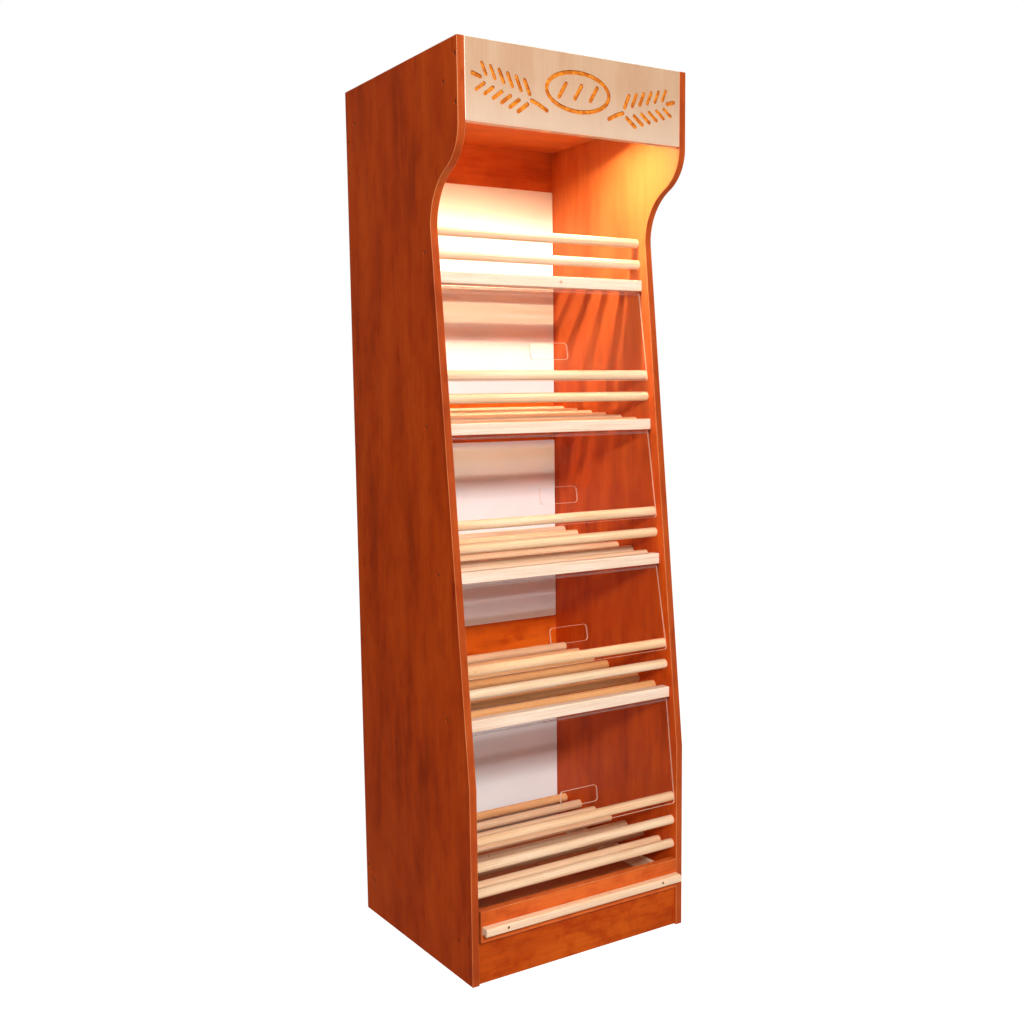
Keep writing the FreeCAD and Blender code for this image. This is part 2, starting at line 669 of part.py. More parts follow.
def main():
    os.makedirs("parts", exist_ok=True)
    nodes = all_nodes()
    for name, made in nodes.items():
        shape = Part.makeCompound(made) if isinstance(made, list) else made
        shape.exportStep("parts/%s.step" % name)
        box = shape.BoundBox
        print("%-26s solids %2d  valid %s  x %.1f..%.1f  y %.1f..%.1f  z %.1f..%.1f" % (
            name, len(shape.Solids), shape.isValid(), box.XMin, box.XMax, box.YMin, box.YMax,
            box.ZMin, box.ZMax))
    print("nodes", len(nodes))


main()
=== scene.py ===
# %% [markdown]
# # A bakery bread rack
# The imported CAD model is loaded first, as a fixed frame. Every board, rod and flap below takes its
# place from that frame, so that the looks and the working model never drift apart.

# %% Load the frame
import json
import math

import bmesh
import bpy
from mathutils import Matrix, Vector


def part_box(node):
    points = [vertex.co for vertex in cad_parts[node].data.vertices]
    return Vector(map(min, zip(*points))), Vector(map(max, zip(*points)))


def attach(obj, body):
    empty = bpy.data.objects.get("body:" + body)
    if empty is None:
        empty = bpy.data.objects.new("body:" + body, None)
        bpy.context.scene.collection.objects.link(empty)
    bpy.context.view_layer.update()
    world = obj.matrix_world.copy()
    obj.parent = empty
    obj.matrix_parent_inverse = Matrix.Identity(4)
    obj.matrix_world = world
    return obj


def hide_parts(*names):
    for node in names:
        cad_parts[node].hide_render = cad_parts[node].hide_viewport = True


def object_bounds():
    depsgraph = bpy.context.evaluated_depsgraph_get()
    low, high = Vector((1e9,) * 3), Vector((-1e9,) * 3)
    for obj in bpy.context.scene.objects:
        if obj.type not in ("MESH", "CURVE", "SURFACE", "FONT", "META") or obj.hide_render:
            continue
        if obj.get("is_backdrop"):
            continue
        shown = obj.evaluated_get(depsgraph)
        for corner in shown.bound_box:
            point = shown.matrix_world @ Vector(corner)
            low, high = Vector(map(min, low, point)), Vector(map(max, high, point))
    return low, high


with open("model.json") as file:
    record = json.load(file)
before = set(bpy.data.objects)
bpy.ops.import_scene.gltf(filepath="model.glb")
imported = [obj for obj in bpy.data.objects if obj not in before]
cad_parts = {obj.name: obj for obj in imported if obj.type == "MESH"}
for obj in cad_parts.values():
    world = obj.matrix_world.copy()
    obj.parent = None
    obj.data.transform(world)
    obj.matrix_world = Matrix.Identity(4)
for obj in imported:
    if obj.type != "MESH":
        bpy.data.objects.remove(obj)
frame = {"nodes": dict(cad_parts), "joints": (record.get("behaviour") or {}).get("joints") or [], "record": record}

CAD_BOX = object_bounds()
LOW, HIGH = CAD_BOX

# %% [markdown]
# ## The eye
# The rack is seen from its left front, a little above its middle. The camera is put in its place
# and turned by three plain angles: round the upright, down, and a slight tilt of the horizon. The
# lens shift slides the rack into the frame without turning the camera.

# %% Camera
EYE = Vector((-1.5823, -2.3618, 1.27098))
TURN_RIGHT = math.radians(31.293)
LOOK_DOWN = math.radians(6.964)
HORIZON_TILT = math.radians(-0.98)
LENS_MM, LENS_SHIFT_X, LENS_SHIFT_Y = 41.97, 0.0433, 0.0363


def new_object(name, data):
    """An object at the origin that shows a mesh, a lamp or a camera."""
    made = bpy.data.objects.new(name, data)
    bpy.context.collection.objects.link(made)
    return made


camera = new_object("camera", bpy.data.cameras.new("camera"))
camera.data.lens, camera.data.shift_x, camera.data.shift_y = LENS_MM, LENS_SHIFT_X, LENS_SHIFT_Y
camera.matrix_world = (
    Matrix.Translation(EYE)
    @ Matrix.Rotation(-TURN_RIGHT, 4, "Z")
    @ Matrix.Rotation(math.pi / 2 - LOOK_DOWN, 4, "X")
    @ Matrix.Rotation(HORIZON_TILT, 4, "Z")
)
bpy.context.scene.camera = camera
bpy.context.scene.view_settings.view_transform = "Standard"
print("camera", round((EYE - (LOW + HIGH) / 2).length, 2), "m from the middle of the rack")

# %% [markdown]
# ## A short way to write nodes
# Materials, the world and Geometry Nodes are all trees. A few helpers keep them readable: one adds
# a node and fills its inputs, two do sums, and one turns an ordinary screen colour into the linear
# one that Blender computes with.


# %% Helpers for trees and colours
def add(tree, kind, inputs=None, **settings):
    """A new node; its inputs are values, outputs, or nodes, which give their first output."""
    made = tree.nodes.new(kind)
    for name, value in settings.items():
        setattr(made, name, value)
    for name, value in (inputs or {}).items():
        value = value.outputs[0] if isinstance(value, bpy.types.Node) else value
        if isinstance(value, bpy.types.NodeSocket):
            tree.links.new(value, made.inputs[name])
        else:
            made.inputs[name].default_value = value
    return made


def maths(tree, operation, first, second):
    """The result of one operation on two values."""
    return add(tree, "ShaderNodeMath", {0: first, 1: second}, operation=operation).outputs[0]


def mapped(tree, value, start, end, low, high):
    """A value stretched so that start becomes low and end becomes high."""
    return add(tree, "ShaderNodeMapRange", {
        "Value": value, "From Min": start, "From Max": end, "To Min": low, "To Max": high}).outputs[0]


def colour(code):
    """Linear colour of a screen colour such as c8582a."""
    parts = [int(code[i:i + 2], 16) / 255 for i in (0, 2, 4)]
    return [((part + 0.055) / 1.055) ** 2.4 if part > 0.04045 else part / 12.92 for part in parts] + [1.0]


print("mid grey 808080 is linear", [round(part, 3) for part in colour("808080")])

# %% [markdown]
# ## Studio
# A pale floor, an even sky, one soft lamp in front and a weak one at the upper left. The front
# lamp is high and a little to the left: it lights the rods from above and lays soft bands of shadow
# on the white sheets. What the eye sees of the studio, straight or through glass, is white; what
# lights the rack is plain.

# %% World, floor and lamps
SKY_LEVEL, KEY_LEVEL, SIDE_LEVEL = 0.40, 0.97, 0.07
FLOOR_REACH = 30.0
FLOOR_GAP = 0.0005
FLOOR_GREY = (0.5, 0.5, 0.5, 1)
SEEN_GREY = (0.30, 0.30, 0.30, 1)
SEEN_GLOW = 0.92
WHITE = (1, 1, 1, 1)


def mixed_by_sight(tree, lights, seen):
    """One shader for what lights the rack, another for rays from the eye and through glass."""
    path = add(tree, "ShaderNodeLightPath")
    sight = maths(tree, "MAXIMUM", path.outputs["Is Camera Ray"], path.outputs["Is Transmission Ray"])
    return add(tree, "ShaderNodeMixShader", {0: sight, 1: lights, 2: seen})


world = bpy.data.worlds.new("studio")
bpy.context.scene.world = world
world.use_nodes = True
sky = world.node_tree
lighting = add(sky, "ShaderNodeBackground", {"Color": colour("fbf8f4"), "Strength": SKY_LEVEL})
backdrop = add(sky, "ShaderNodeBackground", {"Color": WHITE, "Strength": 1.0})
sky.links.new(mixed_by_sight(sky, lighting, backdrop).outputs[0], sky.nodes["World Output"].inputs["Surface"])

floor_mesh = bpy.data.meshes.new("studio_floor")
corners = [(x * FLOOR_REACH, y * FLOOR_REACH, -FLOOR_GAP) for x, y in ((-1, -1), (1, -1), (1, 1), (-1, 1))]
floor_mesh.from_pydata(corners, [], [(0, 1, 2, 3)])
floor_paint = bpy.data.materials.new("studio_floor")
floor_paint.use_nodes = True
ground = floor_paint.node_tree
ground.nodes.clear()
plain = add(ground, "ShaderNodeBsdfDiffuse", {"Color": FLOOR_GREY})
shaded = add(ground, "ShaderNodeBsdfDiffuse", {"Color": SEEN_GREY})
glow = add(ground, "ShaderNodeEmission", {"Color": WHITE, "Strength": SEEN_GLOW})
white_look = add(ground, "ShaderNodeAddShader", {0: shaded, 1: glow})
add(ground, "ShaderNodeOutputMaterial", {"Surface": mixed_by_sight(ground, plain, white_look)})
floor_mesh.materials.append(floor_paint)
new_object("studio_floor", floor_mesh)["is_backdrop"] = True


def area_lamp(name, place, target, size, level):
    """A broad lamp that lights a pale surface at the target to a level between 0 and 1."""
    place = Vector(place)
    beam = Vector(target) - place
    data = bpy.data.lights.new(name, "AREA")
    data.size = size
    data.energy = level * math.pi ** 2 * beam.length ** 2
    lamp = new_object(name, data)
    lamp.matrix_world = Matrix.Translation(place) @ beam.to_track_quat("-Z", "Y").to_matrix().to_4x4()


area_lamp("front_lamp", (-0.95, -3.75, 2.65), (0, -0.2, 1.1), 0.45, KEY_LEVEL)
area_lamp("side_lamp", (-2.2, 0.4, 3.0), (-0.3, 0, 1.7), 0.8, SIDE_LEVEL)
print("sky", SKY_LEVEL, "front lamp", KEY_LEVEL, "side lamp", SIDE_LEVEL)

# %% [markdown]
# ## Printed laminate
# The brown boards are chipboard under a printed wood film. Up close the print has soft clouds as big as a hand,
# smudges, thin streaks and dark flecks. Four noises, each stretched along the grain, make them from the board's own
# place. Inside, a paler, yellower tone is painted around the lamp: painted lamplight.


# %% Noise with a size in metres
def stretched(across, length, axis):
    """Patch size (x, y, z) that is long on one axis."""
    return [length if i == axis else across for i in range(3)]


def patches(tree, size, detail=3.0, spread=0.5, shift=0.0):
    """Noise whose patches measure about size metres on each axis."""
    place = add(tree, "ShaderNodeTexCoord")
    scaled = add(tree, "ShaderNodeMapping", {
        "Vector": place.outputs["Object"], "Location": [shift] * 3, "Scale": [1 / length for length in size]})
    return add(tree, "ShaderNodeTexNoise", {
        "Vector": scaled, "Scale": 1.0, "Detail": detail, "Roughness": spread}).outputs[0]


def ramp(tree, factor, *stops):
    """Colours along a factor, given as (position, colour code)."""
    made = add(tree, "ShaderNodeValToRGB", {0: factor})
    marks = made.color_ramp.elements
    for number, (position, code) in enumerate(stops):
        mark = marks[number] if number < 2 else marks.new(position)
        mark.position = position
        mark.color = colour(code)
    return made.outputs[0]


def blended(tree, factor, first, second, mode="MIX"):
    """One colour over another."""
    return add(tree, "ShaderNodeMix", {0: factor, 6: first, 7: second}, data_type="RGBA", blend_type=mode).outputs[2]


def darkened(tree, tone, strength, factor, *stops):
    """A colour multiplied by a ramp."""
    return blended(tree, strength, tone, ramp(tree, factor, *stops), "MULTIPLY")


def finish(name, sheen=0.5, roughness=0.5, inputs=None):
    """A material of one Principled shader, and its tree and shader."""
    made = bpy.data.materials.new(name)
    made.use_nodes = True
    shader = made.node_tree.nodes["Principled BSDF"]
    for label, value in {"Specular IOR Level": sheen, "Roughness": roughness, **(inputs or {})}.items():
        shader.inputs[label].default_value = value
    return made, made.node_tree, shader


def coat(tree, shader, tone, pattern=None, depth=0.0):
    """Gives a shader its colour, and fine relief of this depth from a pattern."""
    tree.links.new(tone, shader.inputs["Base Color"])
    if pattern is not None:
        bump = add(tree, "ShaderNodeBump", {"Height": pattern, "Distance": depth, "Strength": 1.0})
        tree.links.new(bump.outputs[0], shader.inputs["Normal"])


def roughen(tree, shader, pattern, low, high):
    """Roughness from low to high along a pattern, most of which lies between 0.3 and 0.7."""
    tree.links.new(mapped(tree, pattern, 0.3, 0.7, low, high), shader.inputs["Roughness"])


# %% Brown laminate and edge band
LAMP_LOW, LAMP_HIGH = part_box("lamp_tube")
LAMPLIT_TONE, LAMPLIT_NEAR, LAMPLIT_FAR = "cc7c46", 0.10, 0.85
STREAK_STOPS = (0.34, "e8dcd4"), (0.60, "ffffff")


def painted_lamplight(tree, most, far=LAMPLIT_FAR):
    """A factor for painted lamplight, strongest beside the lamp's tube and falling to 0 far off."""
    place = add(tree, "ShaderNodeTexCoord")
    flat = add(tree, "ShaderNodeVectorMath", {0: place.outputs["Object"], 1: (0.0, 1.0, 1.0)}, operation="MULTIPLY")
    middle = (0.0, *((LAMP_LOW + LAMP_HIGH) / 2).yz)
    away = add(tree, "ShaderNodeVectorMath", {0: flat, 1: middle}, operation="DISTANCE")
    return mapped(tree, away.outputs["Value"], LAMPLIT_NEAR, far, most, 0.0)


def brown_laminate(name, axis, sheen=0.03, tones=("a63808", "c2440a", "d05010"), lamplit=0.0, smudged=0.38):
    """Printed brown wood with its grain along an axis, in a deep, a middle and a light tone, with painted lamplight
    near the tube.
    """
    made, tree, shader = finish(name, sheen)
    clouds = patches(tree, stretched(0.07, 0.32, axis), 4.0, spread=0.55)
    streaks = patches(tree, stretched(0.006, 0.30, axis), shift=3.7)
    flecks = patches(tree, stretched(0.020, 0.085, axis), 2.0, shift=9.1)
    smudges = patches(tree, stretched(0.035, 0.06, axis), 5.0, spread=0.6, shift=6.3)
    whole = darkened(tree, ramp(tree, clouds, *zip((0.30, 0.47, 0.70), tones)), 0.5, streaks, *STREAK_STOPS)
    whole = darkened(tree, whole, 0.7, flecks, (0.68, "ffffff"), (0.80, "c09078"))
    whole = darkened(tree, whole, smudged, smudges, (0.46, "ffffff"), (0.66, "d8b09a"))
    # painted light: a paler, yellower tone near the lamp's tube stands in for the lamp's light on the film
    if lamplit:
        paler = darkened(tree, colour(LAMPLIT_TONE), 0.25, streaks, *STREAK_STOPS)
        paler = darkened(tree, paler, 0.8, clouds, (0.30, "e0c8b4"), (0.60, "ffffff"))
        whole = blended(tree, painted_lamplight(tree, lamplit), whole, paler)
    coat(tree, shader, whole, streaks, 0.00012)
    roughen(tree, shader, streaks, 0.36, 0.50)
    return made


# One printed film in several copies: the inside copies have lighter, more orange tones than the outside one, painted
# light for the lit interior
OUTER_LAMINATE = brown_laminate("matt_laminate_outside", 2)
INNER_LAMINATE = brown_laminate("satin_laminate_inside", 2, 0.15, ("b8420a", "d4520e", "e06014"), 0.9)
PLINTH_LAMINATE = brown_laminate("laminate_grain_level", 0, 0.08, ("a43e0c", "be4c0e", "ca5812"), 0.55, 0.8)
# painted light: the drawer front's copy of the film is printed lighter, standing in for the brighter light on it
FRONT_LAMINATE = brown_laminate("laminate_drawer_front", 0, 0.12, ("c0521a", "d86426", "e67030"), 0.0, 0.6)
LEVEL_LAMINATE = brown_laminate("laminate_level_inside", 0, 0.1, ("c4500e", "e0620f", "ea7016"), 0.9, 0.8)
EDGE_BAND = brown_laminate("laminate_edge_band", 2, 0.15, ("9c3c0e", "b04816", "bc541e"))
# painted highlight: this lighter finish on the bevels stands in for light catching the rounded edges
EDGE_HIGHLIGHT = brown_laminate("laminate_edge_line", 2, 0.2, ("c05c2c", "d27642", "de8e5c"))
print("laminates done")

# %% [markdown]
# ## Pale header board, beech and the other finishes
# The header has a much paler film with a faint upright grain, and its routed groove shows the
# orange board under the film. The rods are beech: fine lines along the rod, broad soft patches, and
# a tone that changes from rod to rod, which the rods carry as an attribute called tone.

# %% Header film, its edge and the groove
HEADER_LOW, HEADER_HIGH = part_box("header_board")
PAINTED_LIGHT_FROM, PAINTED_LIGHT_FULL_AT = 1.94, 1.845
PAINTED_BOUNCE_BAND = 0.003


def by_height(tree, start, end, most):
    """A factor that is 0 at one height and reaches most at another."""
    place = add(tree, "ShaderNodeTexCoord")
    height = add(tree, "ShaderNodeSeparateXYZ", {0: place.outputs["Object"]})
    return mapped(tree, height.outputs["Z"], start, end, 0.0, most)


HEADER_FILM, tree, shader = finish("header_film", sheen=0.3, roughness=0.45)
lines = patches(tree, stretched(0.0022, 0.11, 2))
haze = patches(tree, stretched(0.05, 0.16, 2), 2.0, shift=5.0)
film = ramp(tree, lines, (0.28, "be997a"), (0.46, "c29d7e"), (0.68, "c6a182"))
film = darkened(tree, film, 1.0, haze, (0.35, "f8f0ea"), (0.62, "ffffff"))
# painted light: the film is paler towards the header's lower edge, standing in for stronger light there
film = blended(tree, by_height(tree, PAINTED_LIGHT_FROM, PAINTED_LIGHT_FULL_AT, 0.55), film, colour("d8bea8"))
coat(tree, shader, film, lines, 0.00004)

HEADER_EDGE, tree, shader = finish("header_edge", sheen=0.4, roughness=0.4)
wear = patches(tree, stretched(0.004, 0.08, 0))
# painted light: the header's underside is tinted orange, standing in for light bounced from the orange interior
underside = by_height(tree, HEADER_LOW.z + PAINTED_BOUNCE_BAND, HEADER_LOW.z, 0.85)
coat(tree, shader, blended(tree, underside, ramp(tree, wear, (0.3, "fbe2c6"), (0.7, "fff6ea")), colour("e88c40")))

GROOVE, tree, shader = finish("groove_core", sheen=0.15, roughness=0.75)
chips = patches(tree, [0.0016] * 3)
scorch = patches(tree, [0.012] * 3, 2.0, shift=2.0)
core = ramp(tree, chips, (0.32, "bc6814"), (0.50, "dc8422"), (0.70, "ee9c34"))
coat(tree, shader, darkened(tree, core, 0.7, scorch, (0.40, "c89878"), (0.60, "ffffff")), chips, 0.0003)
print("header", round(HEADER_HIGH.z - HEADER_LOW.z, 3), "m high")


# %% Beech for rods, rails and the drawer's grip
def beech(name, pale, warm, deep, tone_from_rod=False):
    """Plain planed beech with its grain along X."""
    made, tree, shader = finish(name, sheen=0.3)
    lines = patches(tree, stretched(0.0024, 0.16, 0), 4.0, spread=0.6)
    broad = patches(tree, stretched(0.018, 0.22, 0), shift=4.0)
    flecks = patches(tree, stretched(0.0016, 0.009, 0), 1.0, shift=8.0)
    knots = patches(tree, (0.030, 0.020, 0.020), 0.0, shift=31.0)
    wood = ramp(tree, broad, (0.30, warm), (0.62, pale))
    wood = darkened(tree, wood, 0.55, lines, (0.30, deep), (0.52, "ffffff"))
    wood = darkened(tree, wood, 0.25, flecks, (0.62, "ffffff"), (0.72, "d9b592"))
    wood = darkened(tree, wood, 0.6, knots, (0.86, "ffffff"), (0.885, "c89a6c"))
    if tone_from_rod:
        tone = add(tree, "ShaderNodeAttribute", attribute_name="tone").outputs["Fac"]
        wood = darkened(tree, wood, 1.0, tone, (0.0, "f2cea2"), (0.3, "f8d8bc"), (0.55, "fff2e4"), (1.0, "ffffff"))
    coat(tree, shader, wood, lines, 0.0001)
    roughen(tree, shader, lines, 0.44, 0.60)
    return made


ROD_BEECH = beech("rod_beech", "f1d6b8", "e5c29c", "dcb894", tone_from_rod=True)
RAIL_BEECH = beech("rail_beech", "f0d8c2", "e8cab0", "e4c6ac")
GRIP_BEECH = beech("grip_beech", "f2d2b4", "eac49e", "e2bc98")

# %% White sheet, drawer boards, enamel, plastic and metals
WHITE_SHEET, tree, shader = finish("white_sheet", sheen=0.35, roughness=0.5)
orange_peel = patches(tree, [0.0018] * 3, 2.0)
enamel = ramp(tree, patches(tree, [0.12] * 3), (0.3, "f1f4f6"), (0.7, "f6f9fb"))
# painted lamplight: the sheet is tinted yellow near the lamp, standing in for its warm light
coat(tree, shader, blended(tree, painted_lamplight(tree, 0.12, 1.25), enamel, colour("fff0c0")), orange_peel, 0.00004)

DRAWER_BOARD, tree, shader = finish("drawer_board", sheen=0.3, roughness=0.55)
fibres = patches(tree, stretched(0.003, 0.08, 1))
coat(tree, shader, ramp(tree, fibres, (0.3, "dcb894"), (0.7, "ecd2b4")), fibres, 0.00008)

HARDBOARD, tree, shader = finish("drawer_hardboard", sheen=0.2, roughness=0.6)
felt = patches(tree, [0.004] * 3, 4.0)
stains = patches(tree, [0.08] * 3, shift=1.0)
pressed = ramp(tree, felt, (0.3, "a8562a"), (0.7, "c06a38"))
coat(tree, shader, darkened(tree, pressed, 0.5, stains, (0.35, "d0c0b8"), (0.6, "ffffff")), felt, 0.00006)


def rubbed(name, dark, bright, roughness, metallic=1.0):
    """Metal, enamel or plastic with faint rub marks."""
    made, tree, shader = finish(name, inputs={"Metallic": metallic})
    rubs = patches(tree, (0.002, 0.012, 0.002))
    coat(tree, shader, ramp(tree, rubs, (0.3, dark), (0.7, bright)))
    roughen(tree, shader, rubs, roughness - 0.08, roughness + 0.08)
    return made


SCREW_STEEL = rubbed("screw_steel", "6a3418", "a8683e", 0.4, 0.3)
RUNNER_STEEL = rubbed("runner_steel", "d8d6d0", "e8e6e0", 0.42, 0.1)
CAP_METAL = rubbed("cap_metal", "a8a8aa", "cfcfd2", 0.3)
LAMP_ENAMEL = rubbed("lamp_enamel", "deded8", "ecece6", 0.35, 0.0)
WHITE_PLASTIC = rubbed("white_plastic", "dcdcd4", "e8e8e2", 0.45, 0.0)
print("materials so far:", len(bpy.data.materials))

# %% [markdown]
# ## Clear flaps and the lit tube
# Thin clear acrylic hardly shows between its edges, so its index is set below the real one, which
# keeps the white room from lying over it. Lamps shine through a pane almost as if it were not
# there, which a path tracer can't find by chance, so rays from lamps meet a plain see-through
# shader instead. Sawn edges scatter light and look paler than the faces, and the round bar that a
# flap hangs from is almost lost to sight. The tube glows warm along its underside only, which keeps
# the fan of rod shadows on the right side crisp.

# %% Acrylic and tube glass
CLEAR_INDEX = 1.08
PASSED_LIGHT = (0.985, 0.985, 0.985, 1)
LAMP_WARM = (1.0, 0.78, 0.47, 1.0)
TUBE_GLOW, DIM_GLOW = 310.0, 2.0


def clear_acrylic(name, tint, roughness, milk):
    """Acrylic that lets lamps through; milk is how much of it scatters light."""
    made, tree, shader = finish(name, inputs={
        "Base Color": colour(tint), "IOR": CLEAR_INDEX, "Transmission Weight": 1.0 - milk})
    roughen(tree, shader, patches(tree, [0.03] * 3, 2.0), roughness, roughness + 0.01)
    through = add(tree, "ShaderNodeBsdfTransparent", {"Color": PASSED_LIGHT})
    path = add(tree, "ShaderNodeLightPath")
    from_lamps = maths(tree, "MAXIMUM", path.outputs["Is Shadow Ray"], path.outputs["Is Diffuse Ray"])
    mixed = add(tree, "ShaderNodeMixShader", {0: from_lamps, 1: shader, 2: through})
    tree.links.new(mixed.outputs[0], tree.nodes["Material Output"].inputs["Surface"])
    return made


def glowing_glass(name, roughness, glow):
    """Frosted tube glass under a little dust, glowing warm."""
    made, tree, shader = finish(name, inputs={"Emission Color": LAMP_WARM, "Emission Strength": glow})
    dust = patches(tree, (0.03, 0.008, 0.008))
    coat(tree, shader, ramp(tree, dust, (0.3, "f0ede4"), (0.7, "f6f3ec")))
    roughen(tree, shader, dust, roughness - 0.05, roughness + 0.05)
    return made


ACRYLIC = clear_acrylic("clear_acrylic", "fffefd", 0.0, 0.0)
# The sawn edge's milkiness is its real frosting; its warm tint is painted light, standing in for the orange interior
# light the edges catch
ACRYLIC_EDGE = clear_acrylic("sawn_acrylic_edge", "ffe2cc", 0.35, 0.5)
ACRYLIC_BAR, tree, shader = finish("clear_acrylic_bar", 0.05, 0.35, {"Alpha": 0.02})
haze = patches(tree, (0.02, 0.004, 0.004), 2.0)
coat(tree, shader, ramp(tree, haze, (0.3, "f0e2d4"), (0.7, "fff6ee")))
TUBE_LIT = glowing_glass("lit_tube", 0.25, TUBE_GLOW)
TUBE_DIM = glowing_glass("frosted_tube", 0.35, DIM_GLOW)
print("tube glow", TUBE_GLOW)

# %% [markdown]
# ## Boards with eased edges
# No real board has a knife edge. A box from the frame gets its corners rounded by a bevel a millimetre or so wide;
# the bevel's own faces can take another finish. On the brown boards that finish is lighter: a painted highlight, a
# thin lighter line along every edge.

# %% Shaping helpers
CUT_OVER = 0.001
SAME_PLACE = 1e-5
SHARP_FROM = math.radians(40.0)


def settle(piece):
    """Turns a piece's modifiers into plain mesh."""
    graph = bpy.context.evaluated_depsgraph_get()
    solid = piece.evaluated_get(graph)
    mesh = bpy.data.meshes.new_from_object(solid, preserve_all_data_layers=True, depsgraph=graph)
    piece.modifiers.clear()
    piece.data = mesh
    return piece


def soften(piece):
    """Smooth shading that stops at sharp edges and leaves broad faces flat."""
    piece.data.polygons.foreach_set("use_smooth", [True] * len(piece.data.polygons))
    piece.data.set_sharp_from_angle(angle=SHARP_FROM)
    piece.modifiers.new("weigh", "WEIGHTED_NORMAL").keep_sharp = True
    return settle(piece)


def hand_over(piece, body, slot, *nodes):
    """Puts a piece on its body and hides the CAD nodes that it stands for; slot is not used."""
    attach(piece, body)
    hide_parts(*nodes)


def as_piece(bm, name, finishes):
    """Closes a bmesh into an object with outward faces and these finishes."""
    bmesh.ops.recalc_face_normals(bm, faces=bm.faces)
    mesh = bpy.data.meshes.new(name)
    bm.to_mesh(mesh)
    bm.free()
    for paint in finishes:
        mesh.materials.append(paint)
    return new_object(name, mesh)


def box_between(bm, low, high):
    """Adds a box to a bmesh."""
    low, high = Vector(low), Vector(high)
    place = Matrix.Translation((high + low) / 2) @ Matrix.Diagonal((*(high - low), 1))
    bmesh.ops.create_cube(bm, size=1.0, matrix=place)


def drawn_out(outline, low_x, high_x):
    """A bmesh of an outline of points (y, z), drawn out along X."""
    bm = bmesh.new()
    face = bm.faces.new([bm.verts.new((low_x, point.x, point.y)) for point in outline])
    thick = bmesh.ops.extrude_face_region(bm, geom=[face])["geom"]
    moved = [part for part in thick if isinstance(part, bmesh.types.BMVert)]
    bmesh.ops.translate(bm, vec=(high_x - low_x, 0, 0), verts=moved)
    bmesh.ops.recalc_face_normals(bm, faces=bm.faces)
    return bm


def sharp_edges(bm, degrees):
    """Edges whose faces meet at more than an angle."""
    return [edge for edge in bm.edges if edge.calc_face_angle(0) > math.radians(degrees)]


def ease(bm, edges, width, steps, finish_number=-1, clamped=False):
    """Rounds edges; the rounding can take another of the piece's finishes."""
    bmesh.ops.bevel(bm, geom=edges, offset=width, segments=steps, profile=0.5, affect="EDGES",
                    material=finish_number, clamp_overlap=clamped)


def eased_board(name, low, high, width, face, line=None, steps=3):
    """A board with rounded edges; line is the finish of the rounding, if it differs."""
    bm = bmesh.new()
    box_between(bm, low, high)
    ease(bm, bm.edges[:], width, steps, 1 if line else -1)
    return soften(as_piece(bm, name, [face, line] if line else [face]))


def add_bar(bm, radius, start, end, axis, sides=40):
    """Adds a round bar between two points along an axis."""
    start, end = Vector(start), Vector(end)
    turn = {0: Matrix.Rotation(math.pi / 2, 4, "Y"), 1: Matrix.Rotation(-math.pi / 2, 4, "X"),
            2: Matrix.Identity(4)}[axis]
    bmesh.ops.create_cone(bm, cap_ends=True, segments=sides, radius1=radius, radius2=radius,
                          depth=(end - start).length, matrix=Matrix.Translation((start + end) / 2) @ turn)


def cut_away(piece, bm, finishes=(), self_crossing=False):
    """Cuts a bmesh out of a piece and settles it."""
    cutter = as_piece(bm, piece.name + "_cutter", finishes)
    cut = piece.modifiers.new("cut", "BOOLEAN")
    cut.object = cutter
    cut.operation = "DIFFERENCE"
    cut.solver = "EXACT"
    cut.use_self = self_crossing
    settle(piece)
    bpy.data.objects.remove(cutter)
    return soften(piece)


def merged(node):
    """A bmesh of a CAD node with its loose triangles joined."""
    bm = bmesh.new()
    bm.from_mesh(frame["nodes"][node].data)
    bmesh.ops.remove_doubles(bm, verts=bm.verts, dist=SAME_PLACE)
    return bm


def solids_of(node):
    """The separate solids of a CAD node, each as (lowest, highest corner)."""
    bm = merged(node)
    left, boxes = set(bm.verts), []
    while left:
        found, to_visit = set(), [next(iter(left))]
        while to_visit:
            vert = to_visit.pop()
            if vert not in found:
                found.add(vert)
                to_visit += [edge.other_vert(vert) for edge in vert.link_edges]
        left -= found
        reach = [[vert.co[i] for vert in found] for i in range(3)]
        boxes.append((Vector([min(part) for part in reach]), Vector([max(part) for part in reach])))
    bm.free()
    return sorted(boxes, key=lambda box: tuple(round(part, 5) for part in (*box[0], *box[1])))


SCREW_BOXES = solids_of("carcass_screws")
print("screws in the frame:", len(SCREW_BOXES))

# %% [markdown]
# ## Side panels
# A side is one outline: an upright foot, a long edge that leans back, a hollow and a round that
# meet without a corner, and an upright nose beside the header. Arcs worked out from two radii give
# a cleaner curve than any row of points. The outline is thickened, its rims are eased, and holes
# are cut for screws and the flaps' bars.

# %% Outline of a side
KNEE_HEIGHT = 0.445
LEAN = math.radians(5.7)
NOSE_HEIGHT = 0.168
NOSE_RADIUS = 0.091
WAIST_RADIUS = 0.118
ARC_STEPS = 28

PANEL_LOW, PANEL_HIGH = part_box("side_panel_left")


def heading(angle):
    """A step of length 1 in a direction."""
    return Vector((math.cos(angle), math.sin(angle)))


def all_round(count):
    """Angles at even steps round a circle."""
    return [2 * math.pi * step / count for step in range(count)]


